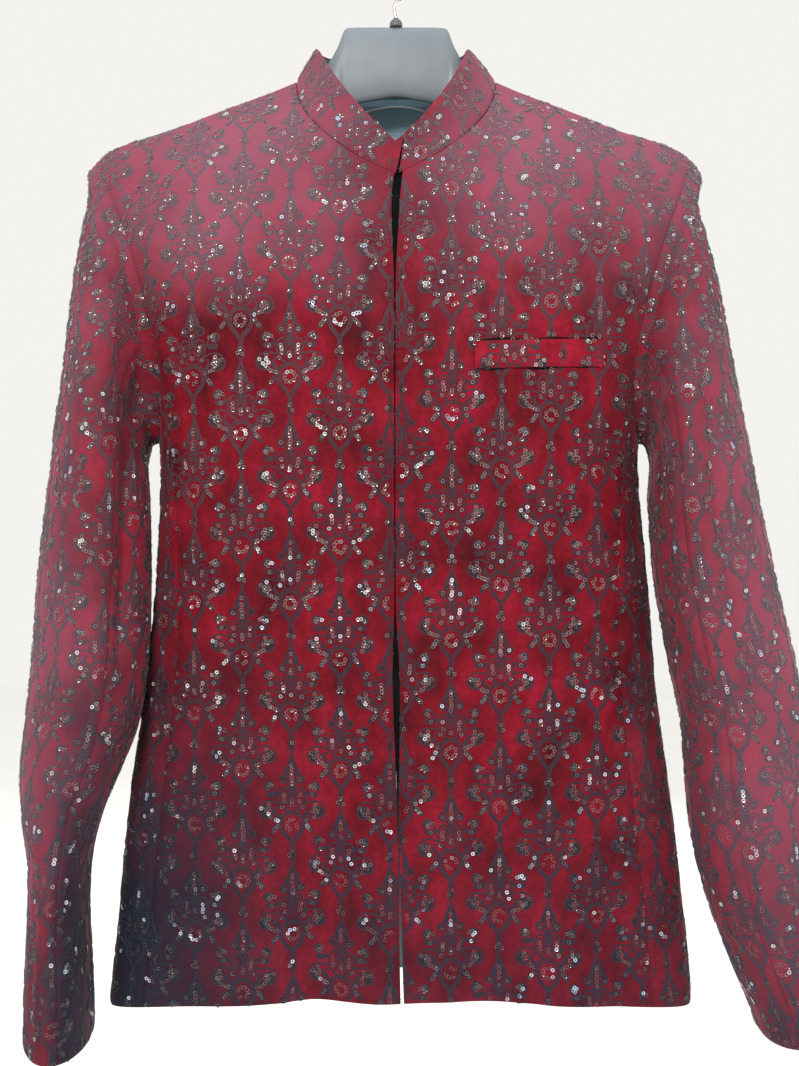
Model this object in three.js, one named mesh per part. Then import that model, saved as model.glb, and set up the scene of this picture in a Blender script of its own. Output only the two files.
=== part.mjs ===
// Short prince coat with a band collar, hanging on a wide-shouldered hanger.
// Millimetres, +Z up. The front faces -Y and the wearer's left is +X.
// The origin is inside the top of the hook, where a rail carries it.
import * as THREE from "three";

const COAT_WALL = 2.4; // velvet with its lining
const COLLAR_WALL = 2.6;
const LINING_WALL = 1.2;
const WELT_WALL = 2;
const SEAM_GAP = 0.3; // between two pieces that a seam joins
const ANGLE_STEP = 0.4; // degrees, for slopes of the body's surface
const ROW_STEP = 0.02; // rows, for slopes of the body's surface

const VELVET = { color: 0x8c1428, roughness: 0.9, metalness: 0 };
const LINING = { color: 0x24383f, roughness: 0.7, metalness: 0 };
const PLASTIC = { color: 0x8f979e, roughness: 0.5, metalness: 0 };
const STEEL = { color: 0xc9b8b4, roughness: 0.3, metalness: 1 };

// Rows of numbers as objects, with one name for each column.
function table(names, ...rows) {
  return rows.map((row) => Object.fromEntries(names.split(" ").map((name, i) => [name, row[i]])));
}

// The body is a loft of rings. A ring turns from the centre front (-90 degrees) over the side (0)
// to the centre back (90). zFront, zSide, zBack: its heights there. left, right: half widths on the
// wearer's left and right, broad: half width that its front and back faces aim for.
// front, back: half depths about centreY. power: how square the ring is.
// rise: 1 for a ring that climbs to the side in a round, 0 for one that climbs in a straight V.
const BODY_RINGS = table(
  "zFront zSide zBack left right broad front back centreY power rise frontX halfGap",
  [-188, -101, -104, 77, 77, 77, 57, 50, -5, 2.05, 0.65, 2, 3], // neck
  [-206, -116, -122, 114, 115, 112, 61, 55, -3, 2.35, 0.8, 0, 2.9], // collarbone
  [-232, -137, -150, 166, 168, 158, 65, 58, -1, 2.65, 1, -0.5, 2], // mid shoulder
  [-262, -162, -182, 228, 230, 195, 68, 61, 0, 2.6, 1, -0.7, 0.6], // shoulder point
  [-297, -215, -228, 218, 218, 208, 69, 62, 0, 2.6, 1, -0.7, 0.3], // upper armhole
  [-335, -270, -282, 203, 203, 203, 69, 62, 0, 2.6, 1, -0.7, 0.3], // chest
  [-375, -325, -336, 191, 189, 191, 68, 62, 0, 2.6, 1, -0.7, 0.3], // lower armhole
  [-415, -380, -390, 186, 181, 184, 67, 61, 0, 2.6, 1, -0.7, 0.3], // underarm
  [-457, -432, -440, 188, 181, 185, 65, 59, 0, 2.6, 1, -0.7, 0.3], // ribs
  [-505, -488, -494, 194, 184, 189, 62, 56, 0, 2.6, 1, -0.5, 0.5], // upper waist
  [-555, -545, -548, 198, 190, 194, 58, 53, 0, 2.6, 1, 0.2, 2.4], // waist
  [-605, -600, -601, 204, 197, 200, 55, 50, 0, 2.6, 1, 1, 1.6], // high hip
  [-655, -655, -654, 212, 205, 208, 52, 48, 0, 2.6, 1, 1.8, 0.6], // hip
  [-705, -708, -706, 218, 210, 214, 49, 46, 0, 2.65, 1, 2.8, 0.5], // low hip
  [-752, -760, -755, 224, 215, 219, 47, 45, 0, 2.7, 1, 3.8, 0.8], // above the hem
  [-797, -810, -800, 228, 220, 224, 46, 44, 0, 2.8, 1, 5, 1.2], // hem
);
const SHOULDER_POINT_ROW = 3;
const UNDERARM_ROW = 7;
const HEM_ROW = BODY_RINGS.length - 1;
const RISE_POWER_AT_NECK = 0.9;
const RISE_POWER_AT_SHOULDER = 1.45;
const RISE_POWER_BELOW = 2;

// Soft standing folds of the body. x: middle at the hem, lean: how far it has moved sideways at the top,
// depth: positive stands out, width: half width, top and full: heights where it starts and is full.
const BODY_FOLDS = [
  { face: "front", x: -60, lean: -14, depth: -9, width: 22, top: -560, full: -780 },
  { face: "front", x: -110, lean: -6, depth: 6, width: 34, top: -520, full: -800 },
  { face: "front", x: -12, lean: 0, depth: 3.5, width: 22, top: -600, full: -790 },
  { face: "front", x: 70, lean: 18, depth: -5, width: 30, top: -580, full: -800 },
  { face: "front", x: 128, lean: 10, depth: 5, width: 30, top: -540, full: -800 },
  { face: "front", x: -96, lean: 10, depth: -3, width: 26, top: -250, full: -430 },
  { face: "back", x: -78, lean: -12, depth: 6, width: 34, top: -470, full: -780 },
  { face: "back", x: -24, lean: -4, depth: -5, width: 24, top: -520, full: -790 },
  { face: "back", x: 62, lean: 14, depth: 6, width: 36, top: -450, full: -770 },
  { face: "back", x: 126, lean: 8, depth: -4, width: 28, top: -540, full: -800 },
];

// The armhole is a loop about the side: half its opening angle, and its samples.
const ARMHOLE_HALF_ANGLE = 27;
const ARMHOLE_SAMPLES = 24;
const FRONT_SEAM_SAMPLE = 8; // where the front's side seam starts, 0 is the shoulder point
const BACK_SEAM_SAMPLE = 16;
const SIDE_SEAM_ANGLE = 36; // of both side seams from the waist down
const SIDE_SEAM_SETTLED_ROW = 10;
const SHOULDER_ROWS = [0, 0.5, 1, 1.5, 2, 2.5];
const ROWS_BELOW_ARMHOLE = [7.5, 8.3, 9.2, 10, 11, 12, 13, 14, 15];
const FRONT_COLUMNS = 12;
const BACK_COLUMNS = 9;

// Sleeve rings. x: middle from the coat's centre, half: half width seen from the front,
// depth: half length from front to back, toeIn: degrees that the front edge turns to the body,
// tilt: how much a ring rises outwards.
const SLEEVE_LEFT_RINGS = [
  { z: -428, x: 232, y: -20, half: 42.5, depth: 68, toeIn: 15, tilt: 0 },
  { z: -482, x: 239, y: -22, half: 45, depth: 66, toeIn: 15, tilt: 0 },
  { z: -542, x: 250, y: -27, half: 46.5, depth: 64, toeIn: 15, tilt: 0 },
  { z: -588, x: 258, y: -32, half: 45.5, depth: 62, toeIn: 14, tilt: 0 },
  { z: -632, x: 259.5, y: -37, half: 44, depth: 60, toeIn: 12, tilt: 0.03 },
  { z: -673, x: 261.5, y: -42, half: 42, depth: 58, toeIn: 10, tilt: 0.08 },
  { z: -714, x: 268, y: -46, half: 38.5, depth: 57, toeIn: 9, tilt: 0.14 },
  { z: -753, x: 280, y: -49, half: 35.5, depth: 56, toeIn: 8, tilt: 0.2 },
  { z: -784, x: 291, y: -52, half: 33.5, depth: 56, toeIn: 8, tilt: 0.24 },
  { z: -803, x: 297, y: -54, half: 33, depth: 56, toeIn: 8, tilt: 0.26 },
];
const SLEEVE_RIGHT_RINGS = [
  { z: -428, x: 224, y: -20, half: 39.5, depth: 68, toeIn: 15, tilt: 0 },
  { z: -482, x: 226, y: -22, half: 42, depth: 66, toeIn: 15, tilt: 0 },
  { z: -542, x: 228, y: -27, half: 43, depth: 64, toeIn: 15, tilt: 0 },
  { z: -590, x: 233, y: -32, half: 41.5, depth: 63, toeIn: 13, tilt: 0 },
  { z: -627, x: 241, y: -37, half: 36, depth: 62, toeIn: 11, tilt: 0 },
  { z: -656, x: 246, y: -41, half: 29.5, depth: 62, toeIn: 9, tilt: 0 },
  { z: -690, x: 247.5, y: -45, half: 23.5, depth: 62, toeIn: 8, tilt: 0 },
  { z: -728, x: 247.5, y: -49, half: 22.5, depth: 61, toeIn: 8, tilt: 0 },
  { z: -772, x: 246.5, y: -53, half: 24.5, depth: 60, toeIn: 8, tilt: 0 },
  { z: -815, x: 245.5, y: -56, half: 25.5, depth: 59, toeIn: 8, tilt: 0 },
];
const ARMHOLE_GAP = 0.45;
const HEAD_SPREAD = 0.5; // how much the sleeve head leaves the armhole sideways
const HEAD_REACH = { middle: 22, swing: 6 }; // how far it runs out before it turns down, most at the top
const HEAD_DROP = { middle: 86, swing: 64 }; // how early it hangs straight
const CAP_STEPS = [0, 0.14, 0.3, 0.5, 0.74]; // along the sleeve head, from the armhole to the first ring
const UNDER_SLEEVE_FIRST = 7; // armhole samples where the under sleeve's two seams start
const UNDER_SLEEVE_LAST = 17;

// Standing folds of the sleeves. angle: 0 outside, 90 front, 180 inside; depth: positive stands out.
const SLEEVE_FOLDS = [
  { side: -1, angle: 118, depth: -7, width: 26, top: -230, bottom: -600 },
  { side: -1, angle: 78, depth: 3, width: 26, top: -260, bottom: -600 },
  { side: -1, angle: 250, depth: -5, width: 28, top: -330, bottom: -640 },
  { side: 1, angle: 104, depth: 4, width: 24, top: -240, bottom: -600 },
  { side: 1, angle: 62, depth: -6, width: 26, top: -280, bottom: -640 },
  { side: 1, angle: 255, depth: -5, width: 28, top: -330, bottom: -640 },
];
const SLEEVE_SEAM_TRIM = 0.2; // each side of a sleeve seam, which twists
const FOLD_FADE = 70; // length over which a sleeve fold starts and ends

// The band collar's top edge, in the same terms as a body ring.
const COLLAR_TOP = {
  zFront: -163, zSide: -76, zBack: -71, half: 59, front: 53, back: 44, centreY: -5,
  power: 2.05, rise: 0.4, shiftX: -3, frontX: 6, halfGap: 0.3,
};
const COLLAR_TOP_RISE_POWER = 1.3;
const COLLAR_ROWS = 3;
const COLLAR_FOOT_HALF_GAP = 1.2;
const COLLAR_FOOT_X = 1;
const LINING_BELOW_COLLAR_TOP = 0.04; // share of the collar's height

// Welt of the breast pocket on the wearer's left: inner and outer end heights, and its height.
const WELT = { xInner: 57, xOuter: 152, zInner: -331, zOuter: -327.5, height: 20, columns: 8 };

const UNDERLAP = { halfWidth: 15, firstRow: 0.35, lastRow: 11.4, rows: 16, columns: 4 };
const NECK_LINING = { columns: 6, rows: SHOULDER_ROWS.slice(0, 5) }; // on the backs' own columns and rows

// Hanger sections from the middle to the end: top and bottom heights, half thickness, and middle.
// Where the coat rests on it, drop is how far the top lies below the coat's inside at the shoulder.
const HANGER_SECTIONS = [
  { x: 0, top: -58, bottom: -111.5, half: 7, y: 0 },
  { x: 28, top: -58, bottom: -116.5, half: 7, y: 0 },
  { x: 38, top: -58.4, bottom: -119, half: 7, y: 0 },
  { x: 41, top: -61, bottom: -120, half: 7, y: 0 },
  { x: 43.5, top: -70, bottom: -121, half: 7, y: 0 },
  { x: 50, top: -82, bottom: -123.5, half: 7.5, y: 1 },
  { x: 57, top: -91, bottom: -127, half: 8, y: 3 },
  { x: 65, top: -100.5, bottom: -131, half: 8.5, y: 5 },
  { x: 76, top: -107, bottom: -135, half: 9, y: 7 },
  { x: 92, drop: 1.7, bottom: -141, half: 11, y: 8 },
  { x: 116, drop: 1.1, bottom: -149, half: 14, y: 6 },
  { x: 145, drop: 0.9, bottom: -160, half: 18, y: 4 },
  { x: 175, drop: 0.8, bottom: -172, half: 21, y: 3 },
  { x: 202, drop: 1.2, bottom: -184, half: 20, y: 1 },
  { x: 213, drop: 1.5, bottom: -187, half: 15, y: 0 },
  { x: 217, drop: 5, bottom: -183, half: 10, y: 0 },
];
const HANGER_SECTION_SIDES = 16;
const HANGER_SECTION_POWER = 2.2;
const HANGER_CLEARANCE = 0.5; // between the hanger's top and the coat's inside
const BOSS = { radius: 5, height: 7, sides: 20, z: -57.7 };
const HOOK = {
  wireRadius: 1.6, bendRadius: 20, steps: 30, sides: 8,
  startTurn: -58, endTurn: 202, turnStep: 26, // degrees round the bend, from the stem to the free end
};

const rad = THREE.MathUtils.degToRad;
const lerp = THREE.MathUtils.lerp;
const smooth = THREE.MathUtils.smoothstep;
const signedPower = (value, power) => Math.sign(value) * Math.abs(value) ** power;

// A named column of a table at a fractional row, on a smooth curve through its values.
function column(table, name, row) {
  const last = table.length - 1;
  const i = Math.min(Math.max(Math.floor(row), 0), last - 1);
  const t = row - i;
  const [a, b] = [table[i][name], table[i + 1][name]];
  const before = i > 0 ? table[i - 1][name] : 2 * a - b;
  const after = i + 2 <= last ? table[i + 2][name] : 2 * b - a;
  const [slopeA, slopeB] = [(b - before) / 2, (after - a) / 2];
  const [t2, t3] = [t * t, t * t * t];
  return (2 * t3 - 3 * t2 + 1) * a + (t3 - 2 * t2 + t) * slopeA + (3 * t2 - 2 * t3) * b + (t3 - t2) * slopeB;
}

// Height of a ring between its side and its front or back.
function ringHeight(angle, zSide, zEnd, rise, power, squareness) {
  const round = Math.abs(Math.sin(rad(angle))) ** power;
  const straight = 1 - Math.abs(Math.cos(rad(angle))) ** (2 / squareness);
  return zSide + (zEnd - zSide) * (rise * round + (1 - rise) * straight);
}

// How far the standing folds move a point of the body in or out.
function bodyFold(face, x, z) {
  let depth = 0;
  for (const fold of BODY_FOLDS) {
    if (fold.face !== face || z > fold.top) continue;
    const growth = smooth(-z, -fold.top, -fold.full);
    const middle = fold.x + fold.lean * (1 - growth);
    depth += fold.depth * growth * Math.exp(-(((x - middle) / fold.width) ** 2));
  }
  return depth;
}

// A point of the body's outer surface. side: 1 on the wearer's left, angle: -90 front to 90 back.
function bodyPoint(side, angle, row) {
  const at = (name) => column(BODY_RINGS, name, row);
  const isFront = angle < 0;
  const power = at("power");
  const half = lerp(at(side > 0 ? "left" : "right"), at("broad"), Math.abs(Math.sin(rad(angle))));
  const x = side * half * signedPower(Math.cos(rad(angle)), 2 / power);
  const depth = isFront ? at("front") : at("back");
  const shoulderPower = lerp(RISE_POWER_AT_NECK, RISE_POWER_AT_SHOULDER, smooth(row, 0, 2));
  const risePower = lerp(shoulderPower, RISE_POWER_BELOW, smooth(row, SHOULDER_POINT_ROW, UNDERARM_ROW));
  const z = ringHeight(angle, at("zSide"), at(isFront ? "zFront" : "zBack"), at("rise"), risePower, power);
  const reach = Math.abs(Math.sin(rad(angle))) ** (2 / power);
  const fold = bodyFold(isFront ? "front" : "back", x, z) * reach ** 2;
  const y = at("centreY") + (isFront ? -1 : 1) * (depth * reach + fold);
  return new THREE.Vector3(x, y, z);
}

// The outward normal there, from the slopes along and across the ring.
function bodyNormal(side, angle, row) {
  const low = Math.max(row - ROW_STEP, 0);
  const high = Math.min(row + ROW_STEP, HEM_ROW);
  const along = bodyPoint(side, angle + ANGLE_STEP, row).sub(bodyPoint(side, angle - ANGLE_STEP, row));
  const down = bodyPoint(side, angle, high).sub(bodyPoint(side, angle, low));
  return side > 0 ? down.cross(along).normalize() : along.cross(down).normalize();
}

// The angle at which a ring of the body has a given x.
function angleAtX(side, x, row, face = -1) {
  let [outer, inner] = [0, 110];
  for (let k = 0; k < 30; k++) {
    const middle = (outer + inner) / 2;
    if (side * bodyPoint(side, face * middle, row).x > side * x) outer = middle;
    else inner = middle;
  }
  return face * outer;
}

const surfaceSample = (side, angle, row) => ({
  point: bodyPoint(side, angle, row),
  normal: bodyNormal(side, angle, row),
});

// The armhole's sample: 0 is the shoulder point, a quarter is the front, half is the underarm.
function armholePlace(sample) {
  const turn = (2 * Math.PI * sample) / ARMHOLE_SAMPLES;
  const share = (1 - Math.cos(turn)) / 2;
  return {
    angle: -ARMHOLE_HALF_ANGLE * Math.sin(turn),
    row: lerp(SHOULDER_POINT_ROW, UNDERARM_ROW, share),
  };
}

function sideSeamAngle(row) {
  const start = Math.abs(armholePlace(FRONT_SEAM_SAMPLE).angle);
  const startRow = armholePlace(FRONT_SEAM_SAMPLE).row;
  return lerp(start, SIDE_SEAM_ANGLE, smooth(row, startRow, SIDE_SEAM_SETTLED_ROW));
}

// A closed wall between a grid of outer samples and the same grid moved in along its normals.
// inset: how far the outer points already lie inside the surface.
function wallMesh(name, grid, thickness, look, inset = 0) {
  const rows = grid.length;
  const columns = grid[0].length;
  const positions = [];
  for (const depth of [inset, inset + thickness])
    for (const { point, normal } of grid.flat())
      positions.push(...point.clone().addScaledVector(normal, -depth).toArray());
  const outer = (j, i) => j * columns + i;
  const inner = (j, i) => rows * columns + outer(j, i);
  const faces = [];
  const quad = (a, b, c, d) => faces.push(a, b, c, a, c, d);
  for (let j = 0; j + 1 < rows; j++)
    for (let i = 0; i + 1 < columns; i++) {
      quad(outer(j, i), outer(j + 1, i), outer(j + 1, i + 1), outer(j, i + 1));
      quad(inner(j, i), inner(j, i + 1), inner(j + 1, i + 1), inner(j + 1, i));
    }
  for (let i = 0; i + 1 < columns; i++) {
    quad(outer(0, i), outer(0, i + 1), inner(0, i + 1), inner(0, i));
    quad(outer(rows - 1, i + 1), outer(rows - 1, i), inner(rows - 1, i), inner(rows - 1, i + 1));
  }
  for (let j = 0; j + 1 < rows; j++) {
    quad(outer(j + 1, 0), outer(j, 0), inner(j, 0), inner(j + 1, 0));
    quad(outer(j + 1, columns - 1), inner(j + 1, columns - 1), inner(j, columns - 1), outer(j, columns - 1));
  }
  return meshOf(name, positions, faces, look);
}

function meshOf(name, positions, faces, look) {
  const geometry = new THREE.BufferGeometry();
  geometry.setAttribute("position", new THREE.Float32BufferAttribute(positions, 3));
  geometry.setIndex(signedVolume(positions, faces) < 0 ? faces.reverse() : faces);
  geometry.computeVertexNormals();
  const mesh = new THREE.Mesh(geometry, new THREE.MeshStandardMaterial(look));
  mesh.name = name;
  return mesh;
}

function signedVolume(positions, faces) {
  const corner = (k) => new THREE.Vector3().fromArray(positions, 3 * faces[k]);
  let volume = 0;
  for (let k = 0; k < faces.length; k += 3) volume += corner(k).dot(corner(k + 1).cross(corner(k + 2)));
  return volume;
}

// Pulls the chosen edges of a grid back by half the seam gap.
function trimEdges(grid, edges, amount = SEAM_GAP / 2) {
  const last = grid.length - 1;
  const end = grid[0].length - 1;
  const pull = (sample, next) => {
    const step = next.point.clone().sub(sample.point);
    sample.point.addScaledVector(step.normalize(), amount);
  };
  if (edges.includes("top")) for (let i = 0; i <= end; i++) pull(grid[0][i], grid[1][i]);
  if (edges.includes("bottom")) for (let i = 0; i <= end; i++) pull(grid[last][i], grid[last - 1][i]);
  if (edges.includes("start")) for (const row of grid) pull(row[0], row[1]);
  if (edges.includes("end")) for (const row of grid) pull(row[end], row[end - 1]);
  return grid;
}

// The rows of a front or back: those on the shoulder, the armhole's samples, then the common rows.
function mainRows(face) {
  const rows = SHOULDER_ROWS.map((row) => ({ row, angle: 0 }));
  for (let i = 0; i <= FRONT_SEAM_SAMPLE; i++) rows.push(armholePlace(face < 0 ? i : ARMHOLE_SAMPLES - i));
  for (const row of ROWS_BELOW_ARMHOLE) rows.push({ row, angle: face * sideSeamAngle(row) });
  return rows;
}

function centreFrontAngle(side, row) {
  const x = column(BODY_RINGS, "frontX", row) + side * column(BODY_RINGS, "halfGap", row);
  return angleAtX(side, x, row);
}

function frontPanel(name, side) {
  const grid = mainRows(-1).map(({ row, angle }) => {
    const start = centreFrontAngle(side, row);
    return Array.from({ length: FRONT_COLUMNS + 1 }, (_, i) =>
      surfaceSample(side, lerp(start, angle, i / FRONT_COLUMNS), row));
  });
  return wallMesh(name, trimEdges(grid, ["top", "end"]), COAT_WALL, VELVET);
}

function backPanel(name, side) {
  const grid = mainRows(1).map(({ row, angle }) =>
    Array.from({ length: BACK_COLUMNS + 1 }, (_, i) =>
      surfaceSample(side, lerp(90, angle, i / BACK_COLUMNS), row)));
  return wallMesh(name, trimEdges(grid, ["top", "start", "end"]), COAT_WALL, VELVET);
}

function sidePanel(name, side) {
  const columns = BACK_SEAM_SAMPLE - FRONT_SEAM_SAMPLE;
  const top = Array.from({ length: columns + 1 }, (_, i) => armholePlace(FRONT_SEAM_SAMPLE + i));
  const grid = [top.map(({ angle, row }) => surfaceSample(side, angle, row))];
  for (const row of ROWS_BELOW_ARMHOLE) {
    const seam = sideSeamAngle(row);
    grid.push(top.map((_, i) => surfaceSample(side, lerp(-seam, seam, i / columns), row)));
  }
  return wallMesh(name, trimEdges(grid, ["top", "start", "end"]), COAT_WALL, VELVET);
}

// The point of a sleeve ring: turn 0 is outside, 90 the front, 180 the side by the body.
function sleeveRingPoint(side, ring, turn) {
  const toe = rad(ring.toeIn);
  const across = Math.sqrt(ring.half ** 2 - (ring.depth * Math.sin(toe)) ** 2) / Math.cos(toe);
  const [c, s] = [across * Math.cos(rad(turn)), ring.depth * Math.sin(rad(turn))];
  const out = c * Math.cos(toe) - s * Math.sin(toe);
  const y = ring.y - s * Math.cos(toe) - c * Math.sin(toe);
  return new THREE.Vector3(side * (ring.x + out), y, ring.z + ring.tilt * out);
}

// The sleeve head: from the armhole's edge out and down to the first ring.
function sleeveHeadPoint(side, sample, share, firstRing) {
  const turn = (360 * sample) / ARMHOLE_SAMPLES;
  const { angle, row } = armholePlace(sample);
  const middle = bodyPoint(side, 0, (SHOULDER_POINT_ROW + UNDERARM_ROW) / 2);
  const edge = bodyPoint(side, angle, row);
  const away = edge.clone().sub(middle).setX(0).normalize();
  const leave = new THREE.Vector3(side, HEAD_SPREAD * away.y, -HEAD_SPREAD * Math.max(away.z, 0)).normalize();
  edge.addScaledVector(leave, ARMHOLE_GAP);
  const lower = sleeveRingPoint(side, firstRing, turn);
  const topness = Math.cos(rad(turn));
  const curve = new THREE.CubicBezierCurve3(
    edge,
    edge.clone().addScaledVector(leave, HEAD_REACH.middle + HEAD_REACH.swing * topness),
    lower.clone().add(new THREE.Vector3(0, 0, HEAD_DROP.middle + HEAD_DROP.swing * topness)),
    lower,
  );
  return curve.getPoint(share);
}

function sleeveFold(side, turn, z) {
  let depth = 0;
  for (const fold of SLEEVE_FOLDS) {
    if (fold.side !== side) continue;
    const start = smooth(-z, -fold.top, -fold.top + FOLD_FADE);
    const end = 1 - smooth(-z, -fold.bottom - FOLD_FADE, -fold.bottom);
    depth += fold.depth * start * end * Math.exp(-(((turn - fold.angle) / fold.width) ** 2));
  }
  return depth;
}

// The whole sleeve tube as a closed grid of samples, folds included.
function sleeveGrid(side, rings) {
  const samples = Array.from({ length: ARMHOLE_SAMPLES }, (_, i) => i);
  const turnOf = (i) => (360 * i) / ARMHOLE_SAMPLES;
  const points = CAP_STEPS.map((share) => samples.map((i) => sleeveHeadPoint(side, i, share, rings[0])));
  for (const ring of rings) points.push(samples.map((i) => sleeveRingPoint(side, ring, turnOf(i))));
  const withNormals = (grid) => grid.map((row, j) => row.map((point, i) => {
    const around = row[(i + 1) % samples.length].clone().sub(row[(i + samples.length - 1) % samples.length]);
    const down = grid[Math.min(j + 1, grid.length - 1)][i].clone().sub(grid[Math.max(j - 1, 0)][i]);
    const normal = side > 0 ? around.cross(down) : down.cross(around);
    return { point, normal: normal.normalize() };
  }));
  const plain = withNormals(points);
  const folded = plain.map((row, j) => row.map(({ point, normal }, i) =>
    j === 0 ? point : point.clone().addScaledVector(normal, sleeveFold(side, turnOf(i), point.z))));
  const grid = withNormals(folded);
  grid[0].forEach((sample, i) => {
    const { angle, row } = armholePlace(i);
    sample.normal = bodyNormal(side, angle, row);
  });
  return grid;
}

function sleevePiece(name, side, rings, first, last) {
  const grid = sleeveGrid(side, rings).map((row) => {
    const piece = [];
    for (let i = first; i <= last; i++) {
      const { point, normal } = row[i % ARMHOLE_SAMPLES];
      piece.push({ point: point.clone(), normal });
    }
    return piece;
  });
  return wallMesh(name, trimEdges(grid, ["start", "end"], SLEEVE_SEAM_TRIM), COAT_WALL, VELVET);
}

// The band collar between its foot (share 0) and its top edge (share 1).
function collarPoint(side, angle, share) {
  const foot = bodyPoint(side, angle, 0);
  const isFront = angle < 0;
  const squareness = 2 / COLLAR_TOP.power;
  const across = signedPower(Math.cos(rad(angle)), squareness);
  const reach = Math.abs(Math.sin(rad(angle))) ** squareness;
  const top = new THREE.Vector3(
    side * COLLAR_TOP.half * across + COLLAR_TOP.shiftX * (isFront ? 1 - reach : 1),
    COLLAR_TOP.centreY + (isFront ? -COLLAR_TOP.front : COLLAR_TOP.back) * reach,
    ringHeight(angle, COLLAR_TOP.zSide, isFront ? COLLAR_TOP.zFront : COLLAR_TOP.zBack,
      isFront ? COLLAR_TOP.rise : 1, isFront ? COLLAR_TOP_RISE_POWER : RISE_POWER_BELOW, COLLAR_TOP.power),
  );
  return foot.lerp(top, share);
}

function collarSample(side, angle, share) {
  const next = collarPoint(side, angle + ANGLE_STEP, share);
  const along = next.sub(collarPoint(side, angle - ANGLE_STEP, share));
  const up = collarPoint(side, angle, 1).sub(collarPoint(side, angle, 0));
  const normal = side > 0 ? along.cross(up) : up.cross(along);
  return { point: collarPoint(side, angle, share), normal: normal.normalize() };
}

// Angle of the collar's end, so that both ends meet on the slanted front line.
function collarEndAngle(side, share) {
  const halfGap = lerp(COLLAR_FOOT_HALF_GAP, COLLAR_TOP.halfGap, share);
  const x = lerp(COLLAR_FOOT_X, COLLAR_TOP.frontX, share) + side * halfGap;
  const half = lerp(BODY_RINGS[0].left, COLLAR_TOP.half, share);
  const cosine = signedPower((side * x) / half, COLLAR_TOP.power / 2);
  return -THREE.MathUtils.radToDeg(Math.acos(cosine));
}

// From the right end round the back to the left end, on the same angles as the panels below.
function collarGrid(lowShare, highShare) {
  const grid = [];
  for (let j = 0; j <= COLLAR_ROWS; j++) {
    const share = lerp(lowShare, highShare, j / COLLAR_ROWS);
    const row = [];
    const frontAngles = (side) => Array.from({ length: FRONT_COLUMNS + 1 }, (_, i) =>
      lerp(collarEndAngle(side, share), 0, i / FRONT_COLUMNS));
    const backAngles = Array.from({ length: BACK_COLUMNS }, (_, i) => (90 * (i + 1)) / BACK_COLUMNS);
    for (const angle of frontAngles(-1)) row.push(collarSample(-1, angle, share));
    for (const angle of backAngles) row.push(collarSample(-1, angle, share));
    for (const angle of backAngles.slice(0, -1).reverse()) row.push(collarSample(1, angle, share));
    for (const angle of frontAngles(1).reverse()) row.push(collarSample(1, angle, share));
    grid.push(row);
  }
  return grid;
}

function collar() {
  return wallMesh("collar", trimEdges(collarGrid(0, 1), ["top"], SEAM_GAP), COLLAR_WALL, VELVET);
}

function collarLining() {
  const grid = trimEdges(collarGrid(0, 1 - LINING_BELOW_COLLAR_TOP), ["top", "start", "end"], SEAM_GAP);
  return wallMesh("collar_lining", grid, LINING_WALL, LINING, COLLAR_WALL + SEAM_GAP);
}

// The lining inside the upper back, up to the neck seam.
function backNeckLining() {
  const angles = Array.from({ length: NECK_LINING.columns + 1 }, (_, i) => lerp(90, 0, i / BACK_COLUMNS));
  const grid = NECK_LINING.rows.map((row) => [
    ...angles.slice().reverse().map((angle) => surfaceSample(-1, angle, row)),
    ...angles.slice(1).map((angle) => surfaceSample(1, angle, row)),
  ]);
  return wallMesh("back_neck_lining", trimEdges(grid, ["top"], 1), LINING_WALL, LINING, COAT_WALL + SEAM_GAP);
}

// The strip behind both front edges.
function flyUnderlap() {
  const { halfWidth, firstRow, lastRow, rows, columns } = UNDERLAP;
  const grid = [];
  for (let j = 0; j <= rows; j++) {
    const row = lerp(firstRow, lastRow, j / rows);
    const middle = column(BODY_RINGS, "frontX", row);
    const line = [];
    for (let i = 0; i <= columns; i++) {
      const x = middle + lerp(-halfWidth, halfWidth, i / columns);
      const side = x < 0 ? -1 : 1;
      line.push(surfaceSample(side, angleAtX(side, x, row), row));
    }
    grid.push(line);
  }
  return wallMesh("fly_underlap", grid, LINING_WALL, LINING, COAT_WALL + SEAM_GAP);
}

// The sample of the front at a given x and height.
function frontSampleAt(x, z) {
  const side = Math.sign(x);
  let [low, high] = [0, HEM_ROW];
  for (let k = 0; k < 40; k++) {
    const row = (low + high) / 2;
    if (bodyPoint(side, angleAtX(side, x, row), row).z > z) low = row;
    else high = row;
  }
  return surfaceSample(side, angleAtX(side, x, low), low);
}

function chestWelt() {
  const { xInner, xOuter, zInner, zOuter, height, columns } = WELT;
  const grid = [1, 0.5, 0].map((up) =>
    Array.from({ length: columns + 1 }, (_, i) => {
      const share = i / columns;
      return frontSampleAt(lerp(xInner, xOuter, share), lerp(zInner, zOuter, share) + up * height);
    }));
  return wallMesh("chest_welt", grid, WELT_WALL, VELVET, -(WELT_WALL + SEAM_GAP));
}

// Height of the coat's shoulder line over x, measured on its outside.
function shoulderLine(x) {
  const neck = BODY_RINGS[0];
  const point = BODY_RINGS[SHOULDER_POINT_ROW];
  return lerp(neck.zSide, point.zSide, (x - neck.left) / (point.left - neck.left));
}

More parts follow.
